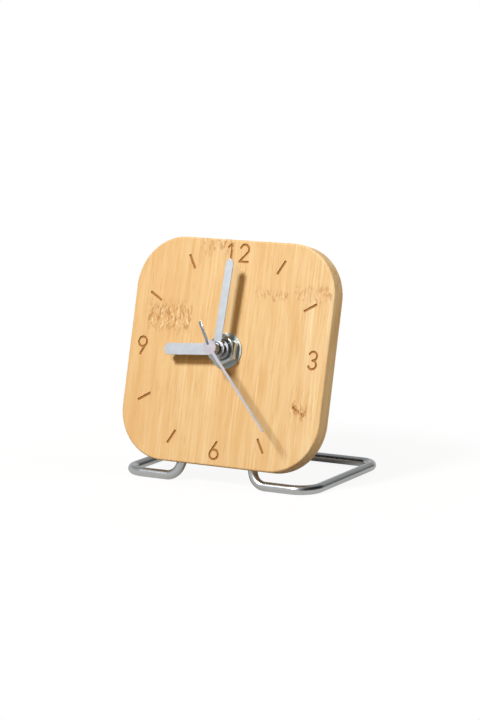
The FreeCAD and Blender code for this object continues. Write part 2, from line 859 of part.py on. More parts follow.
def make_front_case():
    case = new_body("front_shell")
    face = new_sketch(case, "case_outline", "case_back")
    rectangle(face, "0 - case_half", "0 - case_half", "case_half", "case_half")
    pad(case, face, "case_depth")
    dress(case, "Fillet", "case_corners", upright_edges(case.Shape), "Radius", "case_corner")
    chamber = new_sketch(case, "chamber", "case_back - overrun")
    rectangle(chamber, "0 - chamber_half", "partition_top", "chamber_half", "chamber_half")
    pocket(case, chamber, "case_depth - case_plate + overrun")
    bay = new_sketch(case, "battery_bay", "case_back - overrun")
    rectangle(bay, "0 - chamber_half", "0 - chamber_half", "chamber_half", "partition_foot")
    pocket(case, bay, "case_depth - case_plate + overrun")
    seat = new_sketch(case, "cover_seat", "case_back - overrun")
    beyond = "case_half + overrun"
    rectangle(seat, "0 - (%s)" % beyond, "partition_foot", beyond, beyond)
    pocket(case, seat, "cover_thickness + overrun")
    hole = new_sketch(case, "case_hole", "case_inner - overrun")
    circle(hole, "thread_diameter")
    pocket(case, hole, "case_plate + 2 * overrun")
    posts = []
    for across, x in (("left", "plate_left + post_inset"), ("right", "plate_right - post_inset")):
        for along, y in (("low", "plate_foot + post_inset"), ("high", "plate_top - post_inset")):
            name = "post_%s_%s" % (along, across)
            posts.append(cylinder(name, "post_diameter", "case_inner - plate_front", x, y, "plate_front"))
    for along, y in (("low", "circuit_foot + post_inset"),
                     ("high", "circuit_foot + circuit_length - post_inset")):
        posts.append(cylinder("circuit_post_" + along, "post_diameter", "circuit_drop",
                              "circuit_left + circuit_width / 2", y, "case_inner - circuit_drop"))
    third_top = "(centre_level + wheel_thickness + plate_gap)"
    setting_top = "(motion_level + wheel_thickness + plate_gap)"
    posts.append(cylinder("third_boss", "boss_diameter", "case_inner - " + third_top,
                          "third_x", "third_y", third_top))
    posts.append(cylinder("setting_boss", "boss_diameter", "case_inner - " + setting_top,
                          "setting_x", "setting_y", setting_top))
    # The rib that the negative contact leans on grows out of the wall
    root = "(chamber_half + case_wall / 2)"
    posts.append(box("contact_rib_block", "minus_back + " + root, "contact_width", "contact_height",
                     "0 - " + root, "cell_middle - contact_width / 2", "cell_level - contact_height / 2"))
    posts.append(cylinder("motion_stud", "stud_diameter", "case_inner - motion_level",
                          "motion_x", "motion_y", "motion_level"))
    pivots = []
    for name, x, y, top in (("third", "third_x", "third_y", third_top),
                            ("setting", "setting_x", "setting_y", setting_top)):
        pivots.append(cylinder(name + "_front_pivot", "pivot_diameter + 2 * running_clearance",
                               "boss_bore_depth + overrun", x, y, top + " - overrun"))
    on_board(cut("front_case_cut", fused("front_case_solid", [case] + posts), pivots), "movement_front_case")


def make_rear_case():
    cover = new_body("rear_cover")
    face = new_sketch(cover, "cover_outline", "case_back")
    rectangle(face, "0 - case_half", "partition_foot", "case_half", "case_half")
    pad(cover, face, "cover_thickness")
    top_edges = [name for name in upright_edges(cover.Shape)
                 if cover.Shape.getElement(name).BoundBox.YMin > 0]
    dress(cover, "Fillet", "cover_corners", top_edges, "Radius", "case_corner")
    rim = new_sketch(cover, "cover_rim", "cover_inner")
    for inset in ("rim_clearance", "(rim_clearance + rim_wall)"):
        rectangle(rim, "%s - chamber_half" % inset, "partition_top + " + inset,
                  "chamber_half - " + inset, "chamber_half - " + inset)
    pad(cover, rim, "rim_height")
    hole = new_sketch(cover, "knob_hole", "case_back - overrun")
    circle(hole, "setting_shaft + 2 * running_clearance", "setting_x", "setting_y")
    pocket(cover, hole, "cover_thickness + 2 * overrun")
    on_board(cover, "movement_rear_case")


# Plates that hold the pivots

def plate_blank(name, left, foot, right, top, level, thickness):
    plate = new_body(name)
    face = new_sketch(plate, name + "_face", level)
    rectangle(face, left, foot, right, top)
    pad(plate, face, thickness)
    dress(plate, "Fillet", name + "_corners", upright_edges(plate.Shape), "Radius", "plate_corner")
    return plate


def plate_body(name, left, foot, right, top, level, holes):
    plate = plate_blank(name, left, foot, right, top, level, "plate_thickness")
    bores = new_sketch(plate, name + "_bores", level + " - overrun")
    for diameter, x, y in holes:
        circle(bores, diameter, x, y)
    pocket(plate, bores, "plate_thickness + 2 * overrun")
    return plate


def make_plates():
    pivot = "pivot_diameter + 2 * running_clearance"
    middle = plate_body("middle", "plate_left", "plate_foot", "plate_right", "plate_top", "plate_back", [
        ("arbor_diameter + 2 * pass_clearance", "0", "0"),
        (pivot, "third_x", "third_y"),
        (pivot, "intermediate_x", "intermediate_y"),
        (pivot, "rotor_x", "rotor_y"),
        ("setting_shaft + 2 * pass_clearance", "setting_x", "setting_y")])
    on_board(middle, "middle_plate")
    top = plate_body("bridge", "bridge_left", "bridge_foot", "bridge_right", "bridge_top", "bridge_back", [
        (pivot, "0", "0"),
        (pivot, "intermediate_x", "intermediate_y"),
        (pivot, "rotor_x", "rotor_y")])
    pillars = []
    for name, x, y in (("low_left", "bridge_left + pillar_inset", "bridge_foot + pillar_inset"),
                       ("high_left", "bridge_left + pillar_inset", "stator_bar_foot - pillar_inset"),
                       ("low_right", "bridge_right - pillar_inset", "bridge_foot + pillar_inset")):
        pillars.append(cylinder("pillar_" + name, "pillar_diameter", "plate_back - bridge_front",
                                x, y, "bridge_front"))
    on_board(fused("bridge_with_pillars", [top] + pillars), "train_bridge")


# Step motor: stator, coil and the magnet on the rotor

def make_motor():
    foot = "plate_back - stator_thickness"
    bar = box("stator_bar_solid", "stator_right - stator_left", "stator_bar", "stator_thickness",
              "stator_left", "stator_bar_foot", foot)
    eye = cylinder("stator_eye_disc", "stator_eye", "stator_thickness", "rotor_x", "rotor_y", foot)
    arm_height = "core_rise + core_width / 2 - stator_bar_foot"
    left = box("stator_arm_left", "stator_bar", arm_height, "stator_thickness",
               "stator_left", "stator_bar_foot", foot)
    right = box("stator_arm_right", "stator_bar", arm_height, "stator_thickness",
                "stator_right - stator_bar", "stator_bar_foot", foot)
    core = box("stator_core", "stator_right - stator_left", "core_width", "stator_thickness",
               "stator_left", "core_rise - core_width / 2", foot)
    hole = cylinder("stator_rotor_hole", "stator_hole", "stator_thickness + 2 * overrun",
                    "rotor_x", "rotor_y", foot + " - overrun")
    on_board(cut("stator_cut", fused("stator_solid", [bar, eye, left, right, core]), [hole]), "stator")
    axis_level = foot + " + stator_thickness / 2"
    start = "stator_left + stator_bar + bobbin_gap"
    end = "stator_right - stator_bar - bobbin_gap"
    length = "stator_right - stator_left - 2 * stator_bar - 2 * bobbin_gap"
    tube = lying_cylinder("bobbin_tube_solid", "bobbin_tube", length, start, "core_rise", axis_level)
    flanges = []
    for side, x in (("left", start), ("right", end + " - bobbin_flange")):
        flanges.append(lying_cylinder("bobbin_flange_" + side, "bobbin_diameter", "bobbin_flange",
                                      x, "core_rise", axis_level))
    slot = box("bobbin_slot", length + " + 2 * overrun", "core_width", "stator_thickness",
               start + " - overrun", "core_rise - core_width / 2", foot)
    on_board(cut("bobbin_cut", fused("bobbin_solid", [tube] + flanges), [slot]), "coil_bobbin")
    turns_length = length + " - 2 * bobbin_flange"
    turns = lying_cylinder("winding_solid", "coil_diameter", turns_length,
                           start + " + bobbin_flange", "core_rise", axis_level)
    inside = lying_cylinder("winding_bore", "bobbin_tube", turns_length + " + 2 * overrun",
                            start + " + bobbin_flange - overrun", "core_rise", axis_level)
    on_board(cut("winding_cut", turns, [inside]), "coil_winding")


def make_circuit():
    foot = "case_inner - circuit_drop - circuit_thickness"
    card = plate_blank("circuit", "circuit_left", "circuit_foot", "circuit_left + circuit_width",
                       "circuit_foot + circuit_length", foot, "circuit_thickness")
    on_board(card, "circuit_board")
    chip = box("chip_solid", "chip_side", "chip_side", "chip_height",
               "circuit_left + (circuit_width - chip_side) / 2", "circuit_foot + chip_rise",
               foot + " - chip_height")
    marker = cylinder("chip_marker", "chip_mark", "chip_mark_depth + overrun",
                      "circuit_left + (circuit_width - chip_side) / 2 + chip_mark_inset",
                      "circuit_foot + chip_rise + chip_side - chip_mark_inset",
                      foot + " - chip_height - overrun")
    on_board(cut("chip_cut", chip, [marker]), "timing_chip")
    can_start = "circuit_left + (circuit_width - crystal_length) / 2"
    can = lying_cylinder("crystal_can", "crystal_diameter", "crystal_length",
                         can_start, "circuit_foot + crystal_rise", foot + " - crystal_diameter / 2")
    foot_pad = box("crystal_pad", "crystal_foot", "crystal_diameter", "crystal_foot_height", can_start,
                   "circuit_foot + crystal_rise - crystal_diameter / 2", foot + " - crystal_foot_height")
    on_board(fused("crystal_solid", [can, foot_pad]), "quartz_crystal")


# Battery between a flat contact and a bowed leaf

def make_battery():
    can = lying_cylinder("cell_can", "cell_diameter", "cell_length",
                         "cell_start", "cell_middle", "cell_level")
    doc.recompute()
    rounded = doc.addObject("Part::Fillet", "cell_rounded")
    rounded.Base = can
    rims = [number for number, edge in enumerate(can.Shape.Edges, 1)
            if edge.Curve.TypeId == "Part::GeomCircle"]
    rounded.Edges = [(number, size("cell_round"), size("cell_round")) for number in rims]
    button = lying_cylinder("cell_button_solid", "cell_button", "button_height",
                            "cell_start + cell_length", "cell_middle", "cell_level")
    on_board(fused("cell_solid", [rounded, button]), "battery_cell")
    contact_foot = "cell_middle - contact_width / 2"
    contact_level = "cell_level - contact_height / 2"
    plus = box("plus_plate", "contact_thickness", "contact_width", "contact_height",
               "chamber_half - contact_thickness", contact_foot, contact_level)
    dimple = lying_cylinder("plus_dimple", "cell_button / 2", "contact_thickness / 2",
                            "chamber_half - contact_thickness", "cell_middle", "cell_level")
    on_board(cut("plus_cut", plus, [dimple]), "positive_contact")
    minus = box("minus_plate", "contact_thickness", "contact_width", "contact_height",
                "minus_back", contact_foot, contact_level)
    leaf = new_body("minus_leaf")
    side = new_sketch(leaf, "leaf_side", "0 - cell_middle - leaf_width / 2", "XZ_Plane")
    wall = "minus_back + contact_thickness"
    outline(side, [
        (wall, "cell_level - leaf_height / 2"),
        ("cell_start", "cell_level"),
        (wall, "cell_level + leaf_height / 2"),
        (wall, "cell_level + leaf_height / 2 - 2 * contact_thickness"),
        ("cell_start - contact_thickness", "cell_level"),
        (wall, "cell_level - leaf_height / 2 + 2 * contact_thickness")])
    pad(leaf, side, "leaf_width")
    on_board(fused("minus_solid", [minus, leaf]), "negative_contact")


# Wheels and arbors: gears that mesh stand tooth in gap

def arbor(name, steps, x="0", y="0"):
    # A turned arbor: each step is a diameter with its lower and upper level
    solids = []
    for number, (diameter, low, high) in enumerate(steps, 1):
        length = "%s - (%s)" % (high, low)
        solids.append(cylinder("%s_step_%d" % (name, number), diameter, length, x, y, low))
    return solids


def wheel_gear(name, teeth_alias, module_alias, phase, x, y, level):
    return gear(name, teeth_alias, module_alias, phase, size("wheel_thickness"), x, y, size(level))


def make_hand_wheels():
    motion_turn = size("motion_direction")
    cannon_phase = 90
    wheel_phase = meshed_phase(cannon_phase, "cannon_teeth", motion_turn, "minute_wheel_teeth")
    pinion_phase = 0
    hour_phase = meshed_phase(pinion_phase, "minute_pinion_teeth", motion_turn + HALF_TURN,
                              "hour_wheel_teeth")
    setting_phase = meshed_phase(wheel_phase, "minute_wheel_teeth", motion_turn, "setting_teeth")

    hour_gear = wheel_gear("hour_gear", "hour_wheel_teeth", "hour_module", hour_phase, "", "", "hour_level")
    hour_tube = arbor("hour_pipe", [("hour_tube", "hour_level", "(hour_height + collar_rise)")])
    hour_bore = cylinder("hour_bore_tool", "hour_bore",
                         "hour_height + collar_rise - hour_level + 2 * overrun", z="hour_level - overrun")
    hour_solid = fused("hour_wheel_solid", [hour_gear] + hour_tube)
    on_board(cut("hour_wheel_cut", hour_solid, [hour_bore]), "hour_wheel")

    cannon = wheel_gear("cannon_gear", "cannon_teeth", "motion_module", cannon_phase, "", "", "motion_level")
    tube_top = "(minute_height + collar_rise + tube_stand)"
    pipes = arbor("minute_pipe", [
        ("cannon_tube", "centre_level", "(motion_level + wheel_thickness)"),
        ("minute_tube", "(motion_level + wheel_thickness)", tube_top)])
    bore = cylinder("minute_bore_tool", "minute_bore", tube_top + " - centre_level + 2 * overrun",
                    z="centre_level - overrun")
    on_board(cut("minute_arbor_cut", fused("minute_arbor_solid", [cannon] + pipes), [bore]), "minute_arbor")

    wheel = wheel_gear("motion_gear", "minute_wheel_teeth", "motion_module", wheel_phase,
                       "motion_x", "motion_y", "motion_level")
    pinion_height = size("hour_level") - size("motion_level") + size("wheel_thickness")
    pinion = gear("motion_pinion", "minute_pinion_teeth", "hour_module", pinion_phase, pinion_height,
                  "motion_x", "motion_y", size("motion_level"))
    stud_bore = cylinder("motion_bore", "stud_diameter + 2 * running_clearance",
                         "hour_level - motion_level + wheel_thickness + 2 * overrun",
                         "motion_x", "motion_y", "motion_level - overrun")
    wheel_solid = fused("minute_wheel_solid", [wheel, pinion])
    on_board(cut("minute_wheel_cut", wheel_solid, [stud_bore]), "minute_wheel")

    setter = wheel_gear("setting_teeth_gear", "setting_teeth", "motion_module", setting_phase,
                        "setting_x", "setting_y", "motion_level")
    boss_top = "(motion_level + wheel_thickness + plate_gap)"
    shaft = arbor("setting", [
        ("pivot_diameter", "(motion_level + wheel_thickness)",
         "(%s + boss_bore_depth - pivot_inset)" % boss_top),
        ("setting_shaft", "(case_back - knob_gap)", "motion_level")], "setting_x", "setting_y")
    on_board(fused("setting_gear_solid", [setter] + shaft), "setting_gear")

    knob = new_body("knob")
    face = new_sketch(knob, "knob_face", "case_back - knob_gap - knob_height")
    circle(face, "knob_diameter")
    pad(knob, face, "knob_height")
    notch = new_sketch(knob, "knob_notch_face", "case_back - knob_gap - knob_height - overrun")
    circle(notch, "knob_notch", "knob_diameter / 2", "0")
    cutter = pocket(knob, notch, "knob_height + 2 * overrun")
    grips = knob.newObject("PartDesign::PolarPattern", "knob_grips")
    grips.Originals = [cutter]
    grips.Axis = (origin_feature(knob, "Z_Axis"), [""])
    grips.Angle = FULL_TURN
    grips.setExpression("Occurrences", bound("knob_notches"))
    knob.Tip = grips
    place(knob, "setting_x", "setting_y")
    placed = doc.addObject("Part::Compound", "knob_placed")
    placed.Links = [knob]
    on_board(placed, "setting_knob")


def make_second_train():
    third_turn = size("third_direction")
    second_turn = size("intermediate_direction")
    pivot_low = "(plate_back + pivot_inset)"
    bridge_low = "(bridge_back + pivot_inset)"

    centre = wheel_gear("centre_gear", "centre_teeth", "centre_module", 0, "", "", "centre_level")
    centre_bore = cylinder("centre_bore", "cannon_tube + 2 * running_clearance",
                           "wheel_thickness + 2 * overrun", z="centre_level - overrun")
    on_board(cut("centre_wheel_cut", centre, [centre_bore]), "centre_wheel")

    third_pinion = wheel_gear("third_pinion_gear", "third_pinion_teeth", "centre_module",
                              meshed_phase(0, "centre_teeth", third_turn, "third_pinion_teeth"),
                              "third_x", "third_y", "centre_level")
    third = wheel_gear("third_gear", "third_teeth", "third_module", 0, "third_x", "third_y", "third_level")
    third_top = "(centre_level + wheel_thickness + plate_gap)"
    steps = arbor("third", [
        ("pivot_diameter", pivot_low, "(%s + boss_bore_depth - pivot_inset)" % third_top),
        ("arbor_diameter", "third_level", "(centre_level + wheel_thickness)")], "third_x", "third_y")
    on_board(fused("third_wheel_solid", [third_pinion, third] + steps), "third_wheel")

    second_pinion = wheel_gear("second_pinion_gear", "second_pinion_teeth", "third_module",
                               meshed_phase(0, "third_teeth", third_turn + HALF_TURN, "second_pinion_teeth"),
                               "", "", "third_level")
    second = wheel_gear("second_gear", "second_teeth", "seconds_module", 0, "", "", "second_level")
    steps = arbor("second", [
        ("pivot_diameter", bridge_low, "second_level"),
        ("arbor_diameter", "second_level", "(third_level + wheel_thickness)"),
        ("second_pin", "(third_level + wheel_thickness)", "second_height")])
    on_board(fused("second_wheel_solid", [second_pinion, second] + steps), "second_wheel")

    low_pinion = wheel_gear("intermediate_pinion_gear", "intermediate_pinion_teeth", "seconds_module",
                            meshed_phase(0, "second_teeth", second_turn, "intermediate_pinion_teeth"),
                            "intermediate_x", "intermediate_y", "second_level")
    intermediate = wheel_gear("intermediate_gear", "intermediate_teeth", "rotor_module", 0,
                              "intermediate_x", "intermediate_y", "rotor_level")
    steps = arbor("intermediate", [
        ("pivot_diameter", bridge_low, "(plate_front - pivot_inset)"),
        ("arbor_diameter", "rotor_level", "(second_level + wheel_thickness)")],
        "intermediate_x", "intermediate_y")
    on_board(fused("intermediate_solid", [low_pinion, intermediate] + steps), "intermediate_wheel")

    rotor_pinion = wheel_gear("rotor_pinion_gear", "rotor_pinion_teeth", "rotor_module",
                              meshed_phase(0, "intermediate_teeth", second_turn, "rotor_pinion_teeth"),
                              "rotor_x", "rotor_y", "rotor_level")
    steps = arbor("rotor", [
        ("pivot_diameter", bridge_low, "(plate_front - pivot_inset)"),
        ("magnet_diameter", "(plate_back - plate_gap - magnet_thickness)", "(plate_back - plate_gap)")],
        "rotor_x", "rotor_y")
    on_board(fused("rotor_solid", [rotor_pinion] + steps), "rotor")


make_board()
make_wire_stand()
make_fastening()
make_hands()
make_front_case()
make_rear_case()
make_plates()
make_motor()
make_circuit()
make_battery()
make_hand_wheels()
make_second_train()
doc.recompute()

faults = [item.Label for item in doc.Objects if "Invalid" in item.State or "Error" in item.State]
for node in nodes:
    if node.Shape.isNull() or not node.Shape.isValid() or not node.Shape.Solids:
        faults.append(node.Label)
if faults:
    raise RuntimeError("failed: " + ", ".join(faults))

os.makedirs("parts", exist_ok=True)
for node in nodes:
    node.Shape.exportStep("parts/" + node.Label + ".step")
    print("%s: %d solid, %.1f cubic mm" % (node.Label, len(node.Shape.Solids), node.Shape.Volume))
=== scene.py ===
import json
import math

import bmesh
import bpy
from mathutils import Matrix, Vector


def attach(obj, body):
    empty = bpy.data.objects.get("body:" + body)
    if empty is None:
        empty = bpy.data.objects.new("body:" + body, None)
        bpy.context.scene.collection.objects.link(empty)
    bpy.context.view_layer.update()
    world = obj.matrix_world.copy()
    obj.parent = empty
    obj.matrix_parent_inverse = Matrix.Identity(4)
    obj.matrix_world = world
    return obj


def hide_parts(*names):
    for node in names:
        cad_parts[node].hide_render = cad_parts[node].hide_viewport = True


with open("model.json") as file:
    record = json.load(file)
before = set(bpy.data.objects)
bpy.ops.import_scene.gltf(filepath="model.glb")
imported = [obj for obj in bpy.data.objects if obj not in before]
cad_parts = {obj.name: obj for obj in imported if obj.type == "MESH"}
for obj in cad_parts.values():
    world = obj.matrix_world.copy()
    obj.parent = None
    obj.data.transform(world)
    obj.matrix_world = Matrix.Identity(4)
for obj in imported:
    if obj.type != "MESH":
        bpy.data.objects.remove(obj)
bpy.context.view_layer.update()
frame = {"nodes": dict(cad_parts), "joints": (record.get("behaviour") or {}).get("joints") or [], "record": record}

# The board's own frame: x to the right, y up the board, z out of the dial, in millimetres
mm = 0.001
handHinge = next(joint for joint in frame["joints"] if joint["name"] == "minute_turn")
handOrigin = Vector(handHinge["pos_m"])
leanAngle = math.asin(-handHinge["axis"][2])
boardTilt = math.pi / 2 - leanAngle
onBoard = Matrix.Translation(handOrigin) @ Matrix.Rotation(boardTilt, 4, "X") @ Matrix.Scale(mm, 4)
onTable = Matrix.Scale(mm, 4)


# Shader nodes, for materials and for the world

def newMaterial(name, colour, roughness, metallic=0.0):
    material = bpy.data.materials.new(name)
    material.use_nodes = True
    shader = material.node_tree.nodes["Principled BSDF"]
    shader.inputs["Base Color"].default_value = (*colour, 1)
    shader.inputs["Roughness"].default_value = roughness
    shader.inputs["Metallic"].default_value = metallic
    return material, shader


def addNode(owner, kind, **values):
    node = owner.node_tree.nodes.new("ShaderNode" + kind)
    for key, value in values.items():
        setattr(node, key, value)
    return node


def join(owner, output, target):
    owner.node_tree.links.new(output, target)


def calculate(owner, operation, *terms):
    node = addNode(owner, "Math", operation=operation)
    for number, term in enumerate(terms):
        if isinstance(term, (int, float)):
            node.inputs[number].default_value = term
        else:
            join(owner, term, node.inputs[number])
    return node.outputs[0]


def spread(owner, value, low, high, start=0.0, end=1.0, smooth=False):
    node = addNode(owner, "MapRange", interpolation_type="SMOOTHSTEP" if smooth else "LINEAR")
    for key, number in (("From Min", low), ("From Max", high), ("To Min", start), ("To Max", end)):
        node.inputs[key].default_value = number
    join(owner, value, node.inputs["Value"])
    return node.outputs["Result"]


def mixColours(owner, share, first, second):
    node = addNode(owner, "Mix", data_type="RGBA")
    for socket, value in ((node.inputs[0], share), (node.inputs[6], first), (node.inputs[7], second)):
        if isinstance(value, (int, float)):
            socket.default_value = value
        elif isinstance(value, tuple):
            socket.default_value = (*value, 1)
        else:
            join(owner, value, socket)
    return node.outputs[2]


def mixShaders(owner, share, first, second):
    node = addNode(owner, "MixShader")
    for socket, output in zip(node.inputs, (share, first, second)):
        join(owner, output, socket)
    return node.outputs[0]


def rayIs(owner, kind):
    return addNode(owner, "LightPath").outputs["Is " + kind + " Ray"]


def addBump(material, shader, height, strength, distance):
    bump = addNode(material, "Bump")
    bump.inputs["Strength"].default_value = strength
    bump.inputs["Distance"].default_value = distance
    join(material, height, bump.inputs["Height"])
    join(material, bump.outputs[0], shader.inputs["Normal"])


def boardSpot(material, across=1.0, along=1.0):
    # Places on the board in millimetres, squeezed where a pattern runs along the fibres
    spot = addNode(material, "TexCoord")
    mapping = addNode(material, "Mapping", vector_type="TEXTURE")
    mapping.inputs["Location"].default_value = handOrigin
    mapping.inputs["Rotation"].default_value = (boardTilt, 0, 0)
    mapping.inputs["Scale"].default_value = [mm / share for share in (across, along, across)]
    join(material, spot.outputs["Object"], mapping.inputs["Vector"])
    return mapping.outputs[0]


def noise(material, scale, detail=2.0, roughness=0.5, distortion=0.0, across=1.0, along=1.0):
    node = addNode(material, "TexNoise")
    values = (("Scale", scale), ("Detail", detail), ("Roughness", roughness), ("Distortion", distortion))
    for key, number in values:
        node.inputs[key].default_value = number
    join(material, boardSpot(material, across, along), node.inputs["Vector"])
    return node.outputs["Fac"]


# Camera, studio and floor

cameraSetup = {"place": (0.52067, -0.90291, 0.23505), "right": (0.86501, 0.50166, -0.00966),
               "up": (-0.08029, 0.15739, 0.98427), "lens": 125, "filmHeight": 36,
               "nearest": 0.01, "farthest": 50}
lampSetup = {
    "key": {"place": (-0.250, -0.925, 0.967), "size": 0.27, "power": 16.4, "tint": (1.0, 1.0, 1.0)},
    "second": {"place": (0.223, -1.134, 0.687), "size": 0.05, "power": 2.3, "tint": (1.0, 0.66, 0.30)},
    "side": {"place": (1.1, 0.15, 0.7), "size": 0.7, "power": 6.5, "tint": (1.0, 0.97, 0.93)},
    "rear": {"place": (-0.5, 1.1, 0.8), "size": 0.8, "power": 7.5, "tint": (1.0, 1.0, 1.0)},
}
skySetup = {"strength": 0.06, "tint": (1.0, 0.62, 0.32, 1), "white": (1, 1, 1, 1)}
# What metal mirrors: pale at the horizon, greyer overhead, dark to the right
mirrored = {"horizon": 0.72, "top": 0.42, "rise": (0.25, 0.52), "right": 0.06, "aside": (0.15, 0.60)}
floorSetup = {"halfSide": 6, "shade": (0.92, 0.92, 0.92), "roughness": 0.9, "bounce": (0.19, 0.15, 0.10, 1),
              "shadowShare": 0.10, "shadowRadii": (0.05, 0.17), "inMetal": 0.50, "paintedShadeInMetal": 0.06,
              "underBoard": (0.0, 0.008, 0.0), "paintedShadeRadii": (0.030, 0.052)}


def setUpCamera():
    lens = bpy.data.cameras.new("photoCamera")
    lens.sensor_fit = "VERTICAL"
    lens.sensor_height = cameraSetup["filmHeight"]
    lens.lens = cameraSetup["lens"]
    lens.clip_start = cameraSetup["nearest"]
    lens.clip_end = cameraSetup["farthest"]
    camera = bpy.data.objects.new("photoCamera", lens)
    right = Vector(cameraSetup["right"]).normalized()
    back = right.cross(Vector(cameraSetup["up"])).normalized()
    turned = Matrix((right, back.cross(right), back)).transposed()
    camera.matrix_world = Matrix.Translation(cameraSetup["place"]) @ turned.to_4x4()
    bpy.context.scene.collection.objects.link(camera)
    bpy.context.scene.camera = camera


def setUpLamps():
    for name, setup in lampSetup.items():
        light = bpy.data.lights.new(name + "Lamp", "AREA")
        light.shape = "DISK"
        light.size = setup["size"]
        light.energy = setup["power"]
        light.color = setup["tint"]
        lamp = bpy.data.objects.new(name + "Lamp", light)
        lamp.location = setup["place"]
        towards = handOrigin - lamp.location
        lamp.rotation_euler = towards.to_track_quat("-Z", "Y").to_euler()
        lamp.visible_glossy = name == "key"
        bpy.context.scene.collection.objects.link(lamp)


def setUpWorld():
    world = bpy.data.worlds.new("studioWorld")
    bpy.context.scene.world = world
    world.use_nodes = True
    sky = world.node_tree.nodes["Background"]
    sky.inputs["Color"].default_value = skySetup["tint"]
    sky.inputs["Strength"].default_value = skySetup["strength"]
    white = addNode(world, "Background")
    white.inputs["Color"].default_value = skySetup["white"]
    inMetal = addNode(world, "Background")
    split = addNode(world, "SeparateXYZ")
    join(world, addNode(world, "TexCoord").outputs["Generated"], split.inputs[0])
    upward = spread(world, split.outputs["Z"], *mirrored["rise"], mirrored["horizon"], mirrored["top"])
    sideways = spread(world, split.outputs["X"], *mirrored["aside"], 1.0, mirrored["right"], smooth=True)
    join(world, calculate(world, "MULTIPLY", upward, sideways), inMetal.inputs["Strength"])
    around = mixShaders(world, rayIs(world, "Glossy"), sky.outputs[0], inMetal.outputs[0])
    through = calculate(world, "MAXIMUM", rayIs(world, "Camera"), rayIs(world, "Transmission"))
    shown = mixShaders(world, through, around, white.outputs[0])
    join(world, shown, world.node_tree.nodes["World Output"].inputs["Surface"])


def makePaper():
    material, paper = newMaterial("floorPaper", floorSetup["shade"], floorSetup["roughness"])
    paper.inputs["Specular IOR Level"].default_value = 0
    # Light that the floor throws back at the clock comes from a duller sheet
    dull = addNode(material, "BsdfDiffuse")
    dull.inputs["Color"].default_value = floorSetup["bounce"]
    glow = addNode(material, "Emission")
    spot = addNode(material, "TexCoord").outputs["Object"]
    direct = calculate(material, "MAXIMUM", rayIs(material, "Camera"), rayIs(material, "Transmission"))
    # The floor keeps a soft shadow near the clock and is plain white further out
    away = addNode(material, "VectorMath", operation="LENGTH")
    join(material, spot, away.inputs[0])
    fade = spread(material, away.outputs["Value"], *floorSetup["shadowRadii"],
                  1 - floorSetup["shadowShare"], 1.0, smooth=True)
    # Painted shadow: glossy rays see the floor dimmer round a spot under the board, standing in for the board's
    # shadow there, and the wire's rear run mirrors it
    fromUnder = addNode(material, "VectorMath", operation="DISTANCE")
    fromUnder.inputs[1].default_value = floorSetup["underBoard"]
    join(material, spot, fromUnder.inputs[0])
    under = spread(material, fromUnder.outputs["Value"], *floorSetup["paintedShadeRadii"],
                   floorSetup["paintedShadeInMetal"], floorSetup["inMetal"], smooth=True)
    inMetal = calculate(material, "MULTIPLY", rayIs(material, "Glossy"), under)
    glowShare = calculate(material, "MULTIPLY_ADD", direct, fade, inMetal)
    sheet = mixShaders(material, direct, dull.outputs[0], paper.outputs[0])
    blend = mixShaders(material, glowShare, sheet, glow.outputs[0])
    join(material, blend, material.node_tree.nodes["Material Output"].inputs["Surface"])
    return material


def setUpFloor():
    sheet = bmesh.new()
    bmesh.ops.create_grid(sheet, x_segments=1, y_segments=1, size=floorSetup["halfSide"])
    mesh = bpy.data.meshes.new("floor")
    sheet.to_mesh(mesh)
    sheet.free()
    mesh.materials.append(makePaper())
    floor = bpy.data.objects.new("floor", mesh)
    bpy.context.scene.collection.objects.link(floor)


bpy.context.scene.view_settings.view_transform = "Standard"
setUpCamera()
setUpLamps()
setUpWorld()
setUpFloor()
print("camera, lamps, world and floor are set")


# Bamboo: strips, fibres, knuckles and burnt marks

bamboo = {
    "pale": (0.955, 0.765, 0.45), "deep": (0.765, 0.47, 0.19), "fibre": (0.50, 0.24, 0.07),
    "burnt": (0.42, 0.19, 0.045), "gleam": (0.96, 0.78, 0.50), "roughness": 0.48, "smoother": 0.06,
    "rougher": 0.08, "specular": 0.3, "stripWidth": 19.5, "stripStart": -41.3, "halfSeam": (0.485, 0.499),
    "leftShadeFrom": -45.0, "leftShadeTo": 20.0, "leastStreak": 0.45, "bump": 0.22, "bumpHeight": 0.00012,
    "fibreRise": 0.6, "dashRise": -0.4,
}
# How much of its colour each layer brings
layers = {"broad": 0.62, "strip": 0.30, "left": 0.50, "dashes": 0.50, "seam": 0.25, "knuckle": 0.14,
          "gleam": 0.8}
# Fibres run up the board, so noise is squeezed along them
grain = {
    "fibres": {"along": 0.035, "scale": 1.15, "detail": 5, "roughness": 0.6},
    "broad": {"across": 0.35, "along": 0.02, "scale": 0.8, "detail": 3},
    "dashes": {"across": 1.7, "along": 0.085, "scale": 1.1, "detail": 3, "roughness": 0.65},
    "wobble": {"across": 0.9, "along": 0.5, "scale": 0.30, "detail": 3},
    "strokes": {"along": 0.34, "scale": 0.85, "detail": 2, "roughness": 0.55, "distortion": 0.8},
    "specks": {"along": 0.42, "scale": 1.0, "detail": 1, "distortion": 0.5},
    "patches": {"along": 0.22, "scale": 0.16, "detail": 2},
}
# Between which noise values each pattern fades in
fadeIn = {"fibres": (0.36, 0.66), "broad": (0.36, 0.66), "dashes": (0.57, 0.76), "strokes": (0.51, 0.58),
          "specks": (0.56, 0.64), "patches": (0.35, 0.65)}
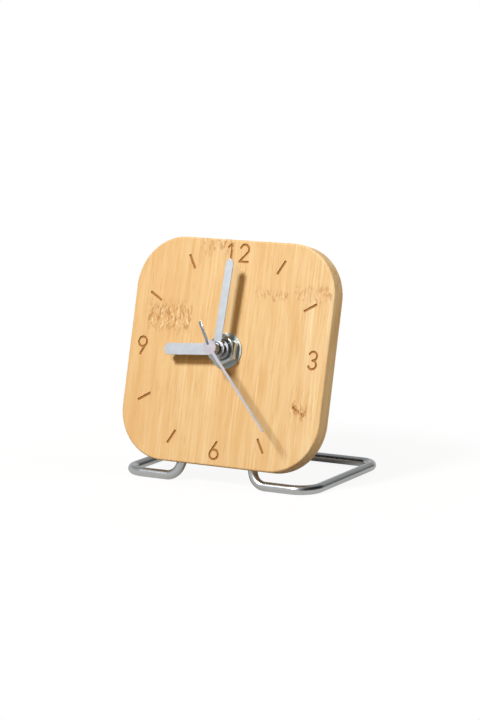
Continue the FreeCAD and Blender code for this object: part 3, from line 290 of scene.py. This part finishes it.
# Nearly all noise lies between these two
commonNoise = (0.3, 0.7)
knuckles = (
    {"across": -29.5, "along": 12.5, "halfWidth": 11.5, "halfHeight": 8.5, "strength": 0.78},
    {"across": -10.5, "along": 44.0, "halfWidth": 8.5, "halfHeight": 5.0, "strength": 0.62},
    {"across": 18.3, "along": 25.0, "halfWidth": 9.0, "halfHeight": 2.6, "strength": 0.52},
    {"across": 37.8, "along": 26.0, "halfWidth": 9.3, "halfHeight": 5.2, "strength": 0.52},
    {"across": 37.3, "along": -22.0, "halfWidth": 4.5, "halfHeight": 4.0, "strength": 0.8},
)
knuckleSides = {"fade": 1.5, "wander": 9.0, "fullShare": 0.3}
# Where the laser has burnt: just under the face, inside the board's rounded outline
burnArea = {"halfBoard": 47.5, "cornerRadius": 22.0, "axisRise": 0.8, "inset": 1.3, "depth": (-0.30, -0.03),
            "floor": -0.6, "hardSpot": (0.1, 0.5), "hardShare": 0.35}


def distance(material, first, second):
    return calculate(material, "ABSOLUTE", calculate(material, "SUBTRACT", first, second))


def knuckleMask(material, across, along):
    # Each knuckle is a band across a strip where the fibres knot up
    wobble = noise(material, **grain["wobble"])
    sway = calculate(material, "MULTIPLY", calculate(material, "SUBTRACT", wobble, 0.5),
                     knuckleSides["wander"])
    level = calculate(material, "SUBTRACT", along, sway)
    total = None
    for knuckle in knuckles:
        halfWidth, halfHeight = knuckle["halfWidth"], knuckle["halfHeight"]
        inside = spread(material, distance(material, across, knuckle["across"]),
                        halfWidth - knuckleSides["fade"], halfWidth, 1.0, 0.0, smooth=True)
        band = spread(material, distance(material, level, knuckle["along"]),
                      knuckleSides["fullShare"] * halfHeight, halfHeight, 1.0, 0.0, smooth=True)
        mask = calculate(material, "MULTIPLY", calculate(material, "MULTIPLY", inside, band),
                         knuckle["strength"])
        total = mask if total is None else calculate(material, "MAXIMUM", total, mask)
    return total


def stripPattern(material, across):
    # Each glued strip has its own tone, and a thin seam on either side
    place = calculate(material, "DIVIDE", calculate(material, "SUBTRACT", across, bamboo["stripStart"]),
                      bamboo["stripWidth"])
    tone = addNode(material, "TexWhiteNoise", noise_dimensions="1D")
    join(material, calculate(material, "FLOOR", place), tone.inputs["W"])
    fromMiddle = distance(material, calculate(material, "FRACT", place), 0.5)
    return tone.outputs["Value"], spread(material, fromMiddle, *bamboo["halfSeam"], smooth=True)


def burntMarks(material, across, along, out):
    straight = burnArea["halfBoard"] - burnArea["cornerRadius"]
    squares = []
    for place in (across, calculate(material, "ADD", along, burnArea["axisRise"])):
        past = calculate(material, "SUBTRACT", calculate(material, "ABSOLUTE", place), straight)
        squares.append(calculate(material, "POWER", calculate(material, "MAXIMUM", past, 0.0), 2.0))
    reach = calculate(material, "SQRT", calculate(material, "ADD", *squares))
    insideEdge = calculate(material, "LESS_THAN", reach, burnArea["cornerRadius"] - burnArea["inset"])
    shallow = calculate(material, "GREATER_THAN", out, burnArea["floor"])
    depth = spread(material, out, *burnArea["depth"], 1.0, 0.0)
    return calculate(material, "MULTIPLY", calculate(material, "MULTIPLY", depth, insideEdge), shallow)


def makeBamboo():
    roughness = bamboo["roughness"]
    material, shader = newMaterial("bamboo", bamboo["pale"], roughness)
    shader.inputs["Specular IOR Level"].default_value = bamboo["specular"]
    split = addNode(material, "SeparateXYZ")
    join(material, boardSpot(material), split.inputs[0])
    across, along, out = split.outputs
    fibres, dashes = noise(material, **grain["fibres"]), noise(material, **grain["dashes"])
    stripTone, seam = stripPattern(material, across)
    knots = knuckleMask(material, across, along)
    strokes = spread(material, noise(material, **grain["strokes"]), *fadeIn["strokes"], smooth=True)
    specks = spread(material, noise(material, **grain["specks"]), *fadeIn["specks"], smooth=True)
    darkLines = calculate(material, "MULTIPLY", strokes, knots)
    lightSpots = calculate(material, "MULTIPLY", specks, knots)
    patches = spread(material, noise(material, **grain["patches"]), *fadeIn["patches"], bamboo["leastStreak"])
    streaks = calculate(material, "MULTIPLY", spread(material, fibres, *fadeIn["fibres"]), patches)
    broad = spread(material, noise(material, **grain["broad"]), *fadeIn["broad"], 0.0, layers["broad"])
    # Painted shade: the face is coloured deeper towards its left side, standing in for less light falling there
    left = spread(material, across, bamboo["leftShadeFrom"], bamboo["leftShadeTo"], layers["left"], 0.0)
    # The laser bites less where a knuckle is hard
    burnt = calculate(material, "MULTIPLY", burntMarks(material, across, along, out),
                      spread(material, lightSpots, *burnArea["hardSpot"], 1.0, burnArea["hardShare"]))
    colour = mixColours(material, streaks, bamboo["pale"], bamboo["deep"])
    for share, over in ((broad, "deep"),
                        (calculate(material, "MULTIPLY", stripTone, layers["strip"]), "deep"),
                        (left, "deep"),
                        (spread(material, dashes, *fadeIn["dashes"], 0.0, layers["dashes"]), "fibre"),
                        (calculate(material, "MULTIPLY", seam, layers["seam"]), "fibre"),
                        (calculate(material, "MULTIPLY", knots, layers["knuckle"]), "fibre"),
                        (calculate(material, "MULTIPLY", lightSpots, layers["gleam"]), "gleam"),
                        (darkLines, "fibre"), (burnt, "burnt")):
        colour = mixColours(material, share, colour, bamboo[over])
    join(material, colour, shader.inputs["Base Color"])
    join(material, spread(material, fibres, *commonNoise, roughness - bamboo["smoother"],
                          roughness + bamboo["rougher"]), shader.inputs["Roughness"])
    height = calculate(material, "ADD", calculate(material, "MULTIPLY", fibres, bamboo["fibreRise"]),
                       calculate(material, "MULTIPLY", dashes, bamboo["dashRise"]))
    addBump(material, shader, height, bamboo["bump"], bamboo["bumpHeight"])
    return material


# Metals and plastics

metalFinish = {"dullShade": 0.86, "dullShare": 0.6, "dullBetween": (0.35, 0.75), "fineScale": 6.0,
               "bumpHeight": 0.00003}
plasticFinish = {"paleGain": 1.12, "paleLift": 0.004, "cloudScale": 0.12, "rougher": 0.07, "smoother": 0.05,
                 "bumpHeight": 0.00004}


def makeMetal(name, colour, roughness, uneven=0.05, cloudScale=0.35, bump=0.03):
    material, shader = newMaterial(name, colour, roughness, 1.0)
    cloudy = noise(material, cloudScale, detail=4)
    fine = noise(material, metalFinish["fineScale"], detail=3)
    dull = tuple(part * metalFinish["dullShade"] for part in colour)
    dullness = spread(material, cloudy, *metalFinish["dullBetween"], 0.0, metalFinish["dullShare"])
    join(material, mixColours(material, dullness, colour, dull), shader.inputs["Base Color"])
    join(material, spread(material, cloudy, *commonNoise, roughness - uneven, roughness + uneven),
         shader.inputs["Roughness"])
    addBump(material, shader, fine, bump, metalFinish["bumpHeight"])
    return material


def makePlastic(name, colour, roughness, texture=9.0, bump=0.12):
    material, shader = newMaterial(name, colour, roughness)
    spark = noise(material, texture, detail=2)
    cloudy = noise(material, plasticFinish["cloudScale"], detail=2)
    paler = tuple(min(1.0, part * plasticFinish["paleGain"] + plasticFinish["paleLift"]) for part in colour)
    join(material, mixColours(material, spread(material, cloudy, *commonNoise), colour, paler),
         shader.inputs["Base Color"])
    join(material, spread(material, spark, *commonNoise, roughness - plasticFinish["smoother"],
                          roughness + plasticFinish["rougher"]), shader.inputs["Roughness"])
    addBump(material, shader, spark, bump, plasticFinish["bumpHeight"])
    return material


materials = {
    "bamboo": makeBamboo(),
    "steel_wire": makeMetal("brightWire", (0.68, 0.70, 0.71), 0.25, uneven=0.03, cloudScale=0.9),
    "zinc": makeMetal("zincPlate", (0.56, 0.60, 0.61), 0.18),
    "hand_alloy": makeMetal("satinAlloy", (0.52, 0.552, 0.585), 0.66, uneven=0.015, bump=0.01),
    "brass": makeMetal("turnedBrass", (0.72, 0.50, 0.22), 0.26),
    "rubber": makePlastic("blackRubber", (0.018, 0.018, 0.018), 0.72),
    "case_plastic": makePlastic("sparkedBlackPlastic", (0.018, 0.022, 0.029), 0.50, bump=0.25),
    "gear_plastic": makePlastic("ivoryGearPlastic", (0.74, 0.71, 0.62), 0.42, bump=0.05),
    "plate_plastic": makePlastic("platePlastic", (0.62, 0.60, 0.54), 0.5),
    "stator_iron": makeMetal("rolledIron", (0.40, 0.40, 0.41), 0.38),
    "magnet": makeMetal("platedMagnet", (0.30, 0.30, 0.32), 0.3),
    "copper_wire": makeMetal("enamelledCopper", (0.62, 0.24, 0.09), 0.32),
    "bobbin_plastic": makePlastic("bobbinPlastic", (0.05, 0.05, 0.055), 0.4),
    "laminate": makePlastic("greenLaminate", (0.03, 0.16, 0.06), 0.35, texture=2.5),
    "epoxy": makePlastic("chipEpoxy", (0.015, 0.015, 0.016), 0.45),
    "can_metal": makeMetal("crystalCan", (0.68, 0.67, 0.62), 0.28),
    "cell_jacket": makePlastic("shrinkJacket", (0.035, 0.075, 0.14), 0.28, texture=3.0, bump=0.03),
    "contact_metal": makeMetal("contactNickel", (0.66, 0.66, 0.65), 0.3),
}
# Finishes that single pieces show within their slot
turnedSteel = makeMetal("turnedSteel", (0.40, 0.42, 0.44), 0.26)
rolledZinc = makeMetal("rolledZinc", (0.58, 0.62, 0.61), 0.58)
satinNeedle = makeMetal("satinNeedle", (0.52, 0.50, 0.53), 0.66, uneven=0.015, bump=0.01)

slotOf = {part["node"]: part["material_slot"] for part in frame["record"]["subparts"]}
for node, body in frame["nodes"].items():
    body.data.materials.clear()
    body.data.materials.append(materials[slotOf[node]])
print("materials are on the nodes")


# Helpers for the new pieces, which are all shaped in board millimetres first

shaping = {"rimAngle": 50, "rimSteps": 2, "rimProfile": 0.5, "turnSteps": 72, "joinWithin": 0.0005,
           "joinCadWithin": 0.001, "flatWithin": 1, "sharpAngle": 30, "near": 0.02}


def softRims(shape, width, test=lambda edge: True, angle=shaping["rimAngle"]):
    rims = [edge for edge in shape.edges
            if edge.is_manifold and edge.calc_face_angle(0) > math.radians(angle) and test(edge)]
    bmesh.ops.bevel(shape, geom=rims, offset=width, offset_type="OFFSET", segments=shaping["rimSteps"],
                    profile=shaping["rimProfile"], affect="EDGES", clamp_overlap=True, material=-1)


def spinProfile(points, steps=shaping["turnSteps"], closed=True):
    # Points are (radius, level) round the upright axis
    shape = bmesh.new()
    verts = [shape.verts.new((radius, 0, level)) for radius, level in points]
    pairs = list(zip(verts, verts[1:]))
    if closed:
        pairs.append((verts[-1], verts[0]))
    edges = [shape.edges.new(pair) for pair in pairs]
    bmesh.ops.spin(shape, geom=verts + edges, cent=(0, 0, 0), axis=(0, 0, 1), angle=2 * math.pi, steps=steps,
                   use_merge=True)
    bmesh.ops.remove_doubles(shape, verts=shape.verts, dist=shaping["joinWithin"])
    bmesh.ops.recalc_face_normals(shape, faces=shape.faces)
    return shape


def ringShell(inner, outer, low, high, soft):
    shape = spinProfile([(inner, low), (outer, low), (outer, high), (inner, high)])
    softRims(shape, soft)
    return shape


def barShell(length, width, thickness, soft=0.1):
    shape = bmesh.new()
    bmesh.ops.create_cube(shape, size=1)
    bmesh.ops.scale(shape, vec=(length, width, thickness), verts=shape.verts)
    softRims(shape, soft)
    return shape


def thicken(shape, faces, height):
    grown = bmesh.ops.extrude_face_region(shape, geom=faces)["geom"]
    verts = [part for part in grown if isinstance(part, bmesh.types.BMVert)]
    bmesh.ops.translate(shape, vec=(0, 0, height), verts=verts)
    bmesh.ops.recalc_face_normals(shape, faces=shape.faces)


def moveShell(shape, place):
    bmesh.ops.translate(shape, vec=place, verts=shape.verts)
    return shape


def turnShell(shape, degrees):
    turned = Matrix.Rotation(math.radians(degrees), 3, "Z")
    bmesh.ops.rotate(shape, verts=shape.verts, cent=(0, 0, 0), matrix=turned)
    return shape


def addShell(shape, other, finish=0):
    for face in other.faces:
        face.material_index = finish
    mesh = bpy.data.meshes.new("shell")
    other.to_mesh(mesh)
    other.free()
    shape.from_mesh(mesh)
    bpy.data.meshes.remove(mesh)


def copyOf(node):
    shape = bmesh.new()
    shape.from_mesh(frame["nodes"][node].data)
    bmesh.ops.transform(shape, matrix=onBoard.inverted(), verts=shape.verts)
    bmesh.ops.remove_doubles(shape, verts=shape.verts, dist=shaping["joinCadWithin"])
    bmesh.ops.dissolve_limit(shape, angle_limit=math.radians(shaping["flatWithin"]), verts=shape.verts,
                             edges=shape.edges)
    return shape


def middleOf(edge):
    return (edge.verts[0].co + edge.verts[1].co) / 2


def keepPiece(shape, name, body, slot, *nodes, place=onBoard, sharp=shaping["sharpAngle"]):
    bmesh.ops.transform(shape, matrix=place, verts=shape.verts)
    mesh = bpy.data.meshes.new(name)
    shape.to_mesh(mesh)
    shape.free()
    mesh.polygons.foreach_set("use_smooth", [True] * len(mesh.polygons))
    mesh.set_sharp_from_angle(angle=math.radians(sharp))
    mesh.materials.append(materials[slot])
    piece = bpy.data.objects.new(name, mesh)
    bpy.context.scene.collection.objects.link(piece)
    shading = piece.modifiers.new("flatFaces", "WEIGHTED_NORMAL")
    shading.keep_sharp = True
    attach(piece, body)
    if nodes:
        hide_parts(*nodes)
    return piece


# Wire stand: one wire, run and bent like the real one

wire = {"radius": 2.0, "sides": 28, "bendSteps": 14, "legSpread": 17.2, "boardFoot": -48.3,
        "boardMiddle": -4.0, "toeIn": 18.0, "legDepth": 14.0, "legDrop": 5.8, "halfWidth": 44.8,
        "halfDepth": 30.15, "bends": (6.5, 9.0, 7.0), "sharp": 40}


def legEnds(side):
    toeIn = math.radians(wire["toeIn"])
    way = Vector((-side * math.sin(toeIn), math.cos(toeIn), 0))
    edgePoint = Vector((side * wire["legSpread"], wire["boardFoot"], wire["boardMiddle"]))
    tip = (onBoard @ (edgePoint + way * wire["legDepth"])) / mm
    foot = (onBoard @ (edgePoint - way * (wire["legDrop"] / way.y))) / mm
    return tip, Vector((foot.x, -wire["halfDepth"], wire["radius"]))


def runStraight(shape, ring, step):
    grown = bmesh.ops.extrude_edge_only(shape, edges=ring)["geom"]
    verts = [part for part in grown if isinstance(part, bmesh.types.BMVert)]
    bmesh.ops.translate(shape, verts=verts, vec=step)
    return [part for part in grown if isinstance(part, bmesh.types.BMEdge)
            and all(vert in verts for vert in part.verts)]


def runBend(shape, ring, centre, axis, angle):
    verts = list(dict.fromkeys(vert for edge in ring for vert in edge.verts))
    bent = bmesh.ops.spin(shape, geom=verts + ring, cent=centre, axis=axis, angle=angle,
                          steps=wire["bendSteps"])
    return [part for part in bent["geom_last"] if isinstance(part, bmesh.types.BMEdge)]


def makeWireStand():
    leftTip, leftFoot = legEnds(-1)
    rightTip, rightFoot = legEnds(1)
    width, depth = wire["halfWidth"], wire["halfDepth"]
    corners = [Vector((side * width, along, wire["radius"]))
               for side, along in ((-1, -depth), (-1, depth), (1, depth), (1, -depth))]
    points = [leftTip, leftFoot, *corners, rightFoot, rightTip]
    shape = bmesh.new()
    facing = (leftFoot - leftTip).to_track_quat("Z", "Y").to_matrix().to_4x4()
    end = bmesh.ops.create_circle(shape, cap_ends=False, segments=wire["sides"], radius=wire["radius"],
                                  matrix=Matrix.Translation(leftTip) @ facing)
    ring = list(dict.fromkeys(edge for vert in end["verts"] for edge in vert.link_edges))
    here = leftTip
    bends = wire["bends"] + wire["bends"][::-1]
    for before, corner, after, radius in zip(points, points[1:], points[2:], bends):
        come, leave = (corner - before).normalized(), (after - corner).normalized()
        angle = come.angle(leave)
        reach = radius * math.tan(angle / 2)
        start = corner - come * reach
        ring = runStraight(shape, ring, start - here)
        axis = come.cross(leave).normalized()
        ring = runBend(shape, ring, start + axis.cross(come) * radius, axis, angle)
        here = corner + leave * reach
    runStraight(shape, ring, points[-1] - here)
    bmesh.ops.holes_fill(shape, edges=[edge for edge in shape.edges if edge.is_boundary], sides=0)
    bmesh.ops.recalc_face_normals(shape, faces=shape.faces)
    keepPiece(shape, "bentWire", "clock", "steel_wire", "wire_stand", place=onTable, sharp=wire["sharp"])


makeWireStand()
print("wire stand is bent")


# Washer and nut on the bushing

washer = {"inner": 4.15, "outer": 7.5, "thickness": 0.6, "soft": 0.14}
nut = {"flats": 12.0, "foot": 0.6, "thickness": 4.0, "bore": 3.95, "mouth": 0.4, "crownStart": 5.6,
       "crownSlope": 30.0, "rim": 0.2, "steps": 96, "soft": 0.14, "rimAngle": 25, "sharp": 22}


def makeWasher():
    shape = ringShell(washer["inner"], washer["outer"], 0, washer["thickness"], washer["soft"])
    flatRing = keepPiece(shape, "roundWasher", "clock", "zinc", "front_washer")
    flatRing.data.materials[0] = rolledZinc


def makeNut():
    half, low, high = nut["flats"] / 2, nut["foot"], nut["foot"] + nut["thickness"]
    bore, mouth, crown = nut["bore"], nut["bore"] + nut["mouth"], nut["crownStart"]
    points = [(bore, low + nut["mouth"]), (mouth, low), (crown, low), (half, low + nut["rim"]),
              (half, high - nut["rim"]), (crown, high), (mouth, high), (bore, high - nut["mouth"])]
    shape = spinProfile(points, nut["steps"])
    sixth = math.pi / 3
    slope = math.tan(math.radians(nut["crownSlope"]))
    for vert in shape.verts:
        if math.hypot(vert.co.x, vert.co.y) > half - shaping["near"]:
            # The outer wall is pushed out to the six flats, and its rim follows the crown
            bearing = math.atan2(vert.co.y, vert.co.x)
            radius = half / math.cos((bearing + sixth / 2) % sixth - sixth / 2)
            drop = (radius - crown) * slope
            level = high - drop if vert.co.z > (low + high) / 2 else low + drop
            vert.co = Vector((radius * math.cos(bearing), radius * math.sin(bearing), level))
    softRims(shape, nut["soft"], angle=nut["rimAngle"])
    bmesh.ops.recalc_face_normals(shape, faces=shape.faces)
    keepPiece(shape, "crownedNut", "clock", "zinc", "hex_nut", sharp=nut["sharp"])


makeWasher()
makeNut()
print("washer and nut are on the board")


# Hands: stamped blades with a hub disc, each on its own collar

stamping = {"thickness": 0.4, "tip": 1.6, "soft": 0.12, "rimAngle": 60, "collarRise": 0.6, "collarSoft": 0.1,
            "hubSteps": 56, "boreSteps": 48}
hands = {
    "hour": {"level": 5.7, "length": 26.8, "width": 4.9, "angle": 266.2,
             "hub": 8.6, "bore": 5.0, "collar": 7.0, "drop": 0.3},
    "minute": {"level": 8.1, "length": 38.0, "width": 3.6, "angle": 2.3,
               "hub": 7.4, "bore": 3.3, "collar": 6.4, "drop": 1.2},
}
needle = {"level": 14.0, "length": 43.9, "width": 1.3, "angle": 137.2, "tip": 0.7, "hub": 6.2,
          "shoulder": 0.4, "tailAngle": 329.5, "tailStart": 1.0, "tailLength": 11.9, "drop": 4.6,
          "stem": 4.8, "stemCore": 0.5, "grooves": 5, "grooveDepth": 0.22, "grooveShare": 0.2,
          "cap": 2.2, "capRise": 0.03, "capSink": 0.1, "capBevel": 0.25, "capSteps": 48}


def discWithBar(hub, level, corners):
    # An outline that leaves the hub disc, runs out over the corners and comes back
    shape = bmesh.new()
    halfFoot = corners[0][0]
    lead = math.asin(halfFoot / hub)
    start = shape.verts.new((halfFoot, hub * math.cos(lead), level))
    turned = bmesh.ops.spin(shape, geom=[start], cent=(0, 0, level), axis=(0, 0, -1),
                            angle=2 * (math.pi - lead), steps=stamping["hubSteps"])
    last = next(part for part in turned["geom_last"] if isinstance(part, bmesh.types.BMVert))
    path = [start] + [shape.verts.new((*corner, level)) for corner in corners] + [last]
    for pair in zip(path, path[1:]):
        shape.edges.new(pair)
    return shape


def stamp(shape):
    # The outline becomes a plate with softly rolled rims
    bmesh.ops.triangle_fill(shape, edges=shape.edges[:], use_beauty=True, use_dissolve=False,
                            normal=(0, 0, 1))
    thicken(shape, shape.faces[:], stamping["thickness"])
    softRims(shape, stamping["soft"], angle=stamping["rimAngle"])


def makeBlade(name):
    hand = hands[name]
    half, bore, level, length = hand["width"] / 2, hand["bore"] / 2, hand["level"], hand["length"]
    shoulder = length - stamping["tip"]
    shape = discWithBar(hand["hub"] / 2, level, [(half, shoulder), (0, length), (-half, shoulder)])
    bmesh.ops.create_circle(shape, cap_ends=False, segments=stamping["boreSteps"], radius=bore,
                            matrix=Matrix.Translation((0, 0, level)))
    stamp(shape)
    collar = ringShell(bore, hand["collar"] / 2, level - hand["drop"], level + stamping["collarRise"],
                       stamping["collarSoft"])
    addShell(shape, collar, 1)
    turnShell(shape, -hand["angle"])
    blade = keepPiece(shape, name + "Blade", name, "hand_alloy", name + "_hand")
    blade.data.materials.append(turnedSteel)


def needleStem():
    # The stem under the hub is turned with a few round grooves
    outer, inner = needle["stem"] / 2, needle["stem"] / 2 - needle["grooveDepth"]
    foot, pitch = needle["level"] - needle["drop"], needle["drop"] / needle["grooves"]
    slope = needle["grooveShare"] * pitch
    points = [(needle["stemCore"], foot)]
    for number in range(needle["grooves"]):
        low = foot + number * pitch
        points += [(inner, low), (outer, low + slope), (outer, low + pitch - slope), (inner, low + pitch)]
    return spinProfile(points + [(needle["stemCore"], needle["level"])])


def needleCap():
    low = needle["level"] + stamping["thickness"]
    radius, rise = needle["cap"] / 2, needle["capRise"]
    foot = low - needle["capSink"]
    points = [(0, foot), (radius, foot), (radius, low + rise / 2), (radius - needle["capBevel"], low + rise),
              (0, low + rise)]
    return spinProfile(points, needle["capSteps"], closed=False)


def makeNeedle():
    half, tipHalf, hub = needle["width"] / 2, needle["tip"] / 2, needle["hub"] / 2
    length, level, shoulder = needle["length"], needle["level"], hub + needle["shoulder"]
    corners = [(half, shoulder), (tipHalf, length), (-tipHalf, length), (-half, shoulder)]
    shape = discWithBar(hub, level, corners)
    stamp(shape)
    start, end = needle["tailStart"], needle["tailLength"]
    # Painted reflection: the tail, part of the same stamped needle, takes the darker turned steel, standing in for
    # the dark surroundings it mirrors
    tail = barShell(needle["width"], end - start, stamping["thickness"], stamping["soft"])
    moveShell(tail, (0, (start + end) / 2, level + stamping["thickness"] / 2))
    addShell(shape, turnShell(tail, needle["angle"] - needle["tailAngle"]), 1)
    addShell(shape, needleStem(), 1)
    addShell(shape, needleCap())
    turnShell(shape, -needle["angle"])
    hand = keepPiece(shape, "needleHand", "second", "hand_alloy", "second_hand")
    hand.data.materials[0] = satinNeedle
    hand.data.materials.append(turnedSteel)


makeBlade("hour")
makeBlade("minute")
makeNeedle()
print("hands are stamped")


# Movement behind the board: case, cover with its moulded marks, knob and battery cell

case = {"half": 28.0, "back": -25.5, "front": -9.0, "seat": -23.9, "soft": 0.35, "rimBand": 4.5,
        "shortestRim": 0.25, "snapLength": 6.0, "snapWidth": 2.0, "snapRise": 0.35, "snapAt": (4.0, 19.0),
        "snapOut": 1.9, "snapSoft": 0.15}
cover = {"border": 1.5, "recess": 0.35, "sink": 0.1, "soft": 0.16, "shortestRim": 0.2, "knobHole": 4.0,
         "facing": -0.99,
         "ringInner": 6.0, "ringOuter": 6.7, "ringSoft": 0.12, "arrowRadius": 8.6, "arrowWidth": 0.7,
         "arrowFrom": 40.0, "arrowTo": 140.0, "arrowSteps": 20, "headWidth": 2.0, "headLength": 1.9,
         "markSize": 2.8, "markWidth": 0.7, "markAcross": 22.3, "markUp": -8.2, "ribLength": 30.0,
         "ribWidth": 0.8, "ribs": (12.0, 15.0, 18.0, 21.0)}
knob = {"across": 12.69, "up": -4.62, "back": -28.5, "height": 2.6, "radius": 5.5, "notches": 16,
        "notchRadius": 0.7, "steps": 192, "soft": 0.07, "rimAngle": 80, "sharp": 35, "ringInner": 3.3,
        "ringOuter": 4.1, "ringOut": 0.15, "ringIn": 0.3, "ringSoft": 0.1, "slotBar": (4.6, 1.0, 0.4)}
# The can's points are (radius, distance from that end along the cell)
cell = {"left": -24.5, "length": 49.5, "radius": 7.1, "up": -19.2, "level": -17.6,
        "foot": ((0, 0.25), (5.7, 0.25), (6.0, 0.02), (6.6, 0.02), (6.8, 0.3)),
        "head": ((6.8, -0.35), (6.5, -0.1), (3.7, -0.1), (3.4, -0.35), (2.95, -0.35), (2.75, -0.1),
                 (2.75, 0.85), (2.45, 1.2), (0, 1.2)),
        "jacketInner": 6.3, "jacketGaps": (0.12, 0.2), "jacketSoft": 0.35, "sharp": 35, "jacketSharp": 50}


def makeFrontCase():
    shape = copyOf("movement_front_case")

    def outerRim(edge):
        middle = middleOf(edge)
        atEnd = abs(middle.z - case["front"]) < shaping["near"] or middle.z < case["back"] + shaping["near"]
        atSide = max(abs(middle.x), abs(middle.y)) > case["half"] - case["rimBand"]
        return atEnd and atSide and edge.calc_length() > case["shortestRim"]

    softRims(shape, case["soft"], outerRim)
    for side in (-1, 1):
        for up in case["snapAt"]:
            snap = barShell(2 * case["snapRise"], case["snapLength"], case["snapWidth"], case["snapSoft"])
            addShell(shape, moveShell(snap, (side * case["half"], up, case["seat"] + case["snapOut"])))
    keepPiece(shape, "movementShell", "clock", "case_plastic", "movement_front_case")


def turnArrow():
    # A bent bar with a head at its end shows that the knob turns
    low, high = case["back"], case["back"] + cover["recess"] + cover["sink"]
    middle, half = cover["arrowRadius"], cover["arrowWidth"] / 2
    inner, outer = middle - half, middle + half
    shape = bmesh.new()
    corners = [(inner, 0, low), (outer, 0, low), (outer, 0, high), (inner, 0, high)]
    face = shape.faces.new([shape.verts.new(corner) for corner in corners])
    turnShell(shape, cover["arrowFrom"])
    bmesh.ops.spin(shape, geom=[*face.verts, *face.edges, face], cent=(0, 0, 0), axis=(0, 0, 1),
                   steps=cover["arrowSteps"], angle=math.radians(cover["arrowTo"] - cover["arrowFrom"]))
    head = bmesh.new()
    side = cover["headWidth"] / 2
    corners = [(-side, 0, low), (side, 0, low), (0, cover["headLength"], low)]
    head.faces.new([head.verts.new(corner) for corner in corners])
    thicken(head, head.faces[:], high - low)
    addShell(shape, turnShell(moveShell(head, (middle, 0, 0)), cover["arrowTo"]))
    bmesh.ops.recalc_face_normals(shape, faces=shape.faces)
    return shape


def makeRearCover():
    shape = copyOf("movement_rear_case")
    panel = [face for face in shape.faces if face.normal.z < cover["facing"]
             and abs(face.calc_center_median().z - case["back"]) < shaping["near"]]
    bmesh.ops.inset_region(shape, faces=panel, thickness=cover["border"], depth=-cover["recess"],
                           use_even_offset=True, use_boundary=True)
    floorLevel = case["back"] + cover["recess"]
    knobPlace = (knob["across"], knob["up"], 0)

    def backRim(edge):
        middle = middleOf(edge)
        fromKnob = math.hypot(middle.x - knob["across"], middle.y - knob["up"])
        atBack = middle.z < floorLevel - cover["sink"]
        return atBack and fromKnob > cover["knobHole"] and edge.calc_length() > cover["shortestRim"]

    softRims(shape, cover["soft"], backRim)
    middle = (case["back"] + floorLevel) / 2
    thickness = cover["recess"] + cover["sink"]
    for up in cover["ribs"]:
        rib = barShell(cover["ribLength"], cover["ribWidth"], thickness)
        addShell(shape, moveShell(rib, (0, up, middle)))
    # A minus on one side and a plus on the other mark the cell's poles
    across, up, size, width = cover["markAcross"], cover["markUp"], cover["markSize"], cover["markWidth"]
    for side, bar in ((-1, (size, width)), (1, (size, width)), (1, (width, size))):
        addShell(shape, moveShell(barShell(*bar, thickness), (side * across, up, middle)))
    ring = ringShell(cover["ringInner"], cover["ringOuter"], case["back"], floorLevel + cover["sink"] / 2,
                     cover["ringSoft"])
    addShell(shape, moveShell(ring, knobPlace))
    addShell(shape, moveShell(turnArrow(), knobPlace))
    keepPiece(shape, "snapCover", "clock", "case_plastic", "movement_rear_case")


def makeKnob():
    back, rim, notch = knob["back"], knob["radius"], knob["notchRadius"]
    shape = bmesh.new()
    bmesh.ops.create_circle(shape, cap_ends=True, segments=knob["steps"], radius=rim,
                            matrix=Matrix.Translation((0, 0, back)))
    pitch = 2 * math.pi / knob["notches"]
    for vert in shape.verts:
        # Scalloped rim: each notch is a round cut centred on the rim
        bearing = math.atan2(vert.co.y, vert.co.x)
        offset = (bearing + pitch / 2) % pitch - pitch / 2
        aside = rim * math.sin(offset)
        if abs(aside) < notch:
            radius = rim * math.cos(offset) - math.sqrt(notch ** 2 - aside ** 2)
            vert.co = Vector((radius * math.cos(bearing), radius * math.sin(bearing), back))
    thicken(shape, shape.faces[:], knob["height"])
    softRims(shape, knob["soft"], angle=knob["rimAngle"])
    addShell(shape, ringShell(knob["ringInner"], knob["ringOuter"], back - knob["ringOut"],
                              back + knob["ringIn"], knob["ringSoft"]))
    addShell(shape, moveShell(barShell(*knob["slotBar"]), (0, 0, back)))
    moveShell(shape, (knob["across"], knob["up"], 0))
    keepPiece(shape, "settingWheelGrip", "setting", "gear_plastic", "setting_knob", sharp=knob["sharp"])


def makeCell():
    start = (cell["left"], cell["up"], cell["level"])
    lying = Matrix.Translation(start) @ Matrix.Rotation(math.pi / 2, 4, "Y")
    length = cell["length"]
    head = [(radius, length + past) for radius, past in cell["head"]]
    can = spinProfile([*cell["foot"], *head], closed=False)
    before, behind = cell["jacketGaps"]
    jacket = ringShell(cell["jacketInner"], cell["radius"], before, length - behind, cell["jacketSoft"])
    for shape in (can, jacket):
        bmesh.ops.transform(shape, matrix=lying, verts=shape.verts)
    keepPiece(can, "cellEnds", "clock", "contact_metal", sharp=cell["sharp"])
    keepPiece(jacket, "shrinkJacket", "clock", "cell_jacket", "battery_cell", sharp=cell["jacketSharp"])


makeFrontCase()
makeRearCover()
makeKnob()
makeCell()
print("movement is dressed")
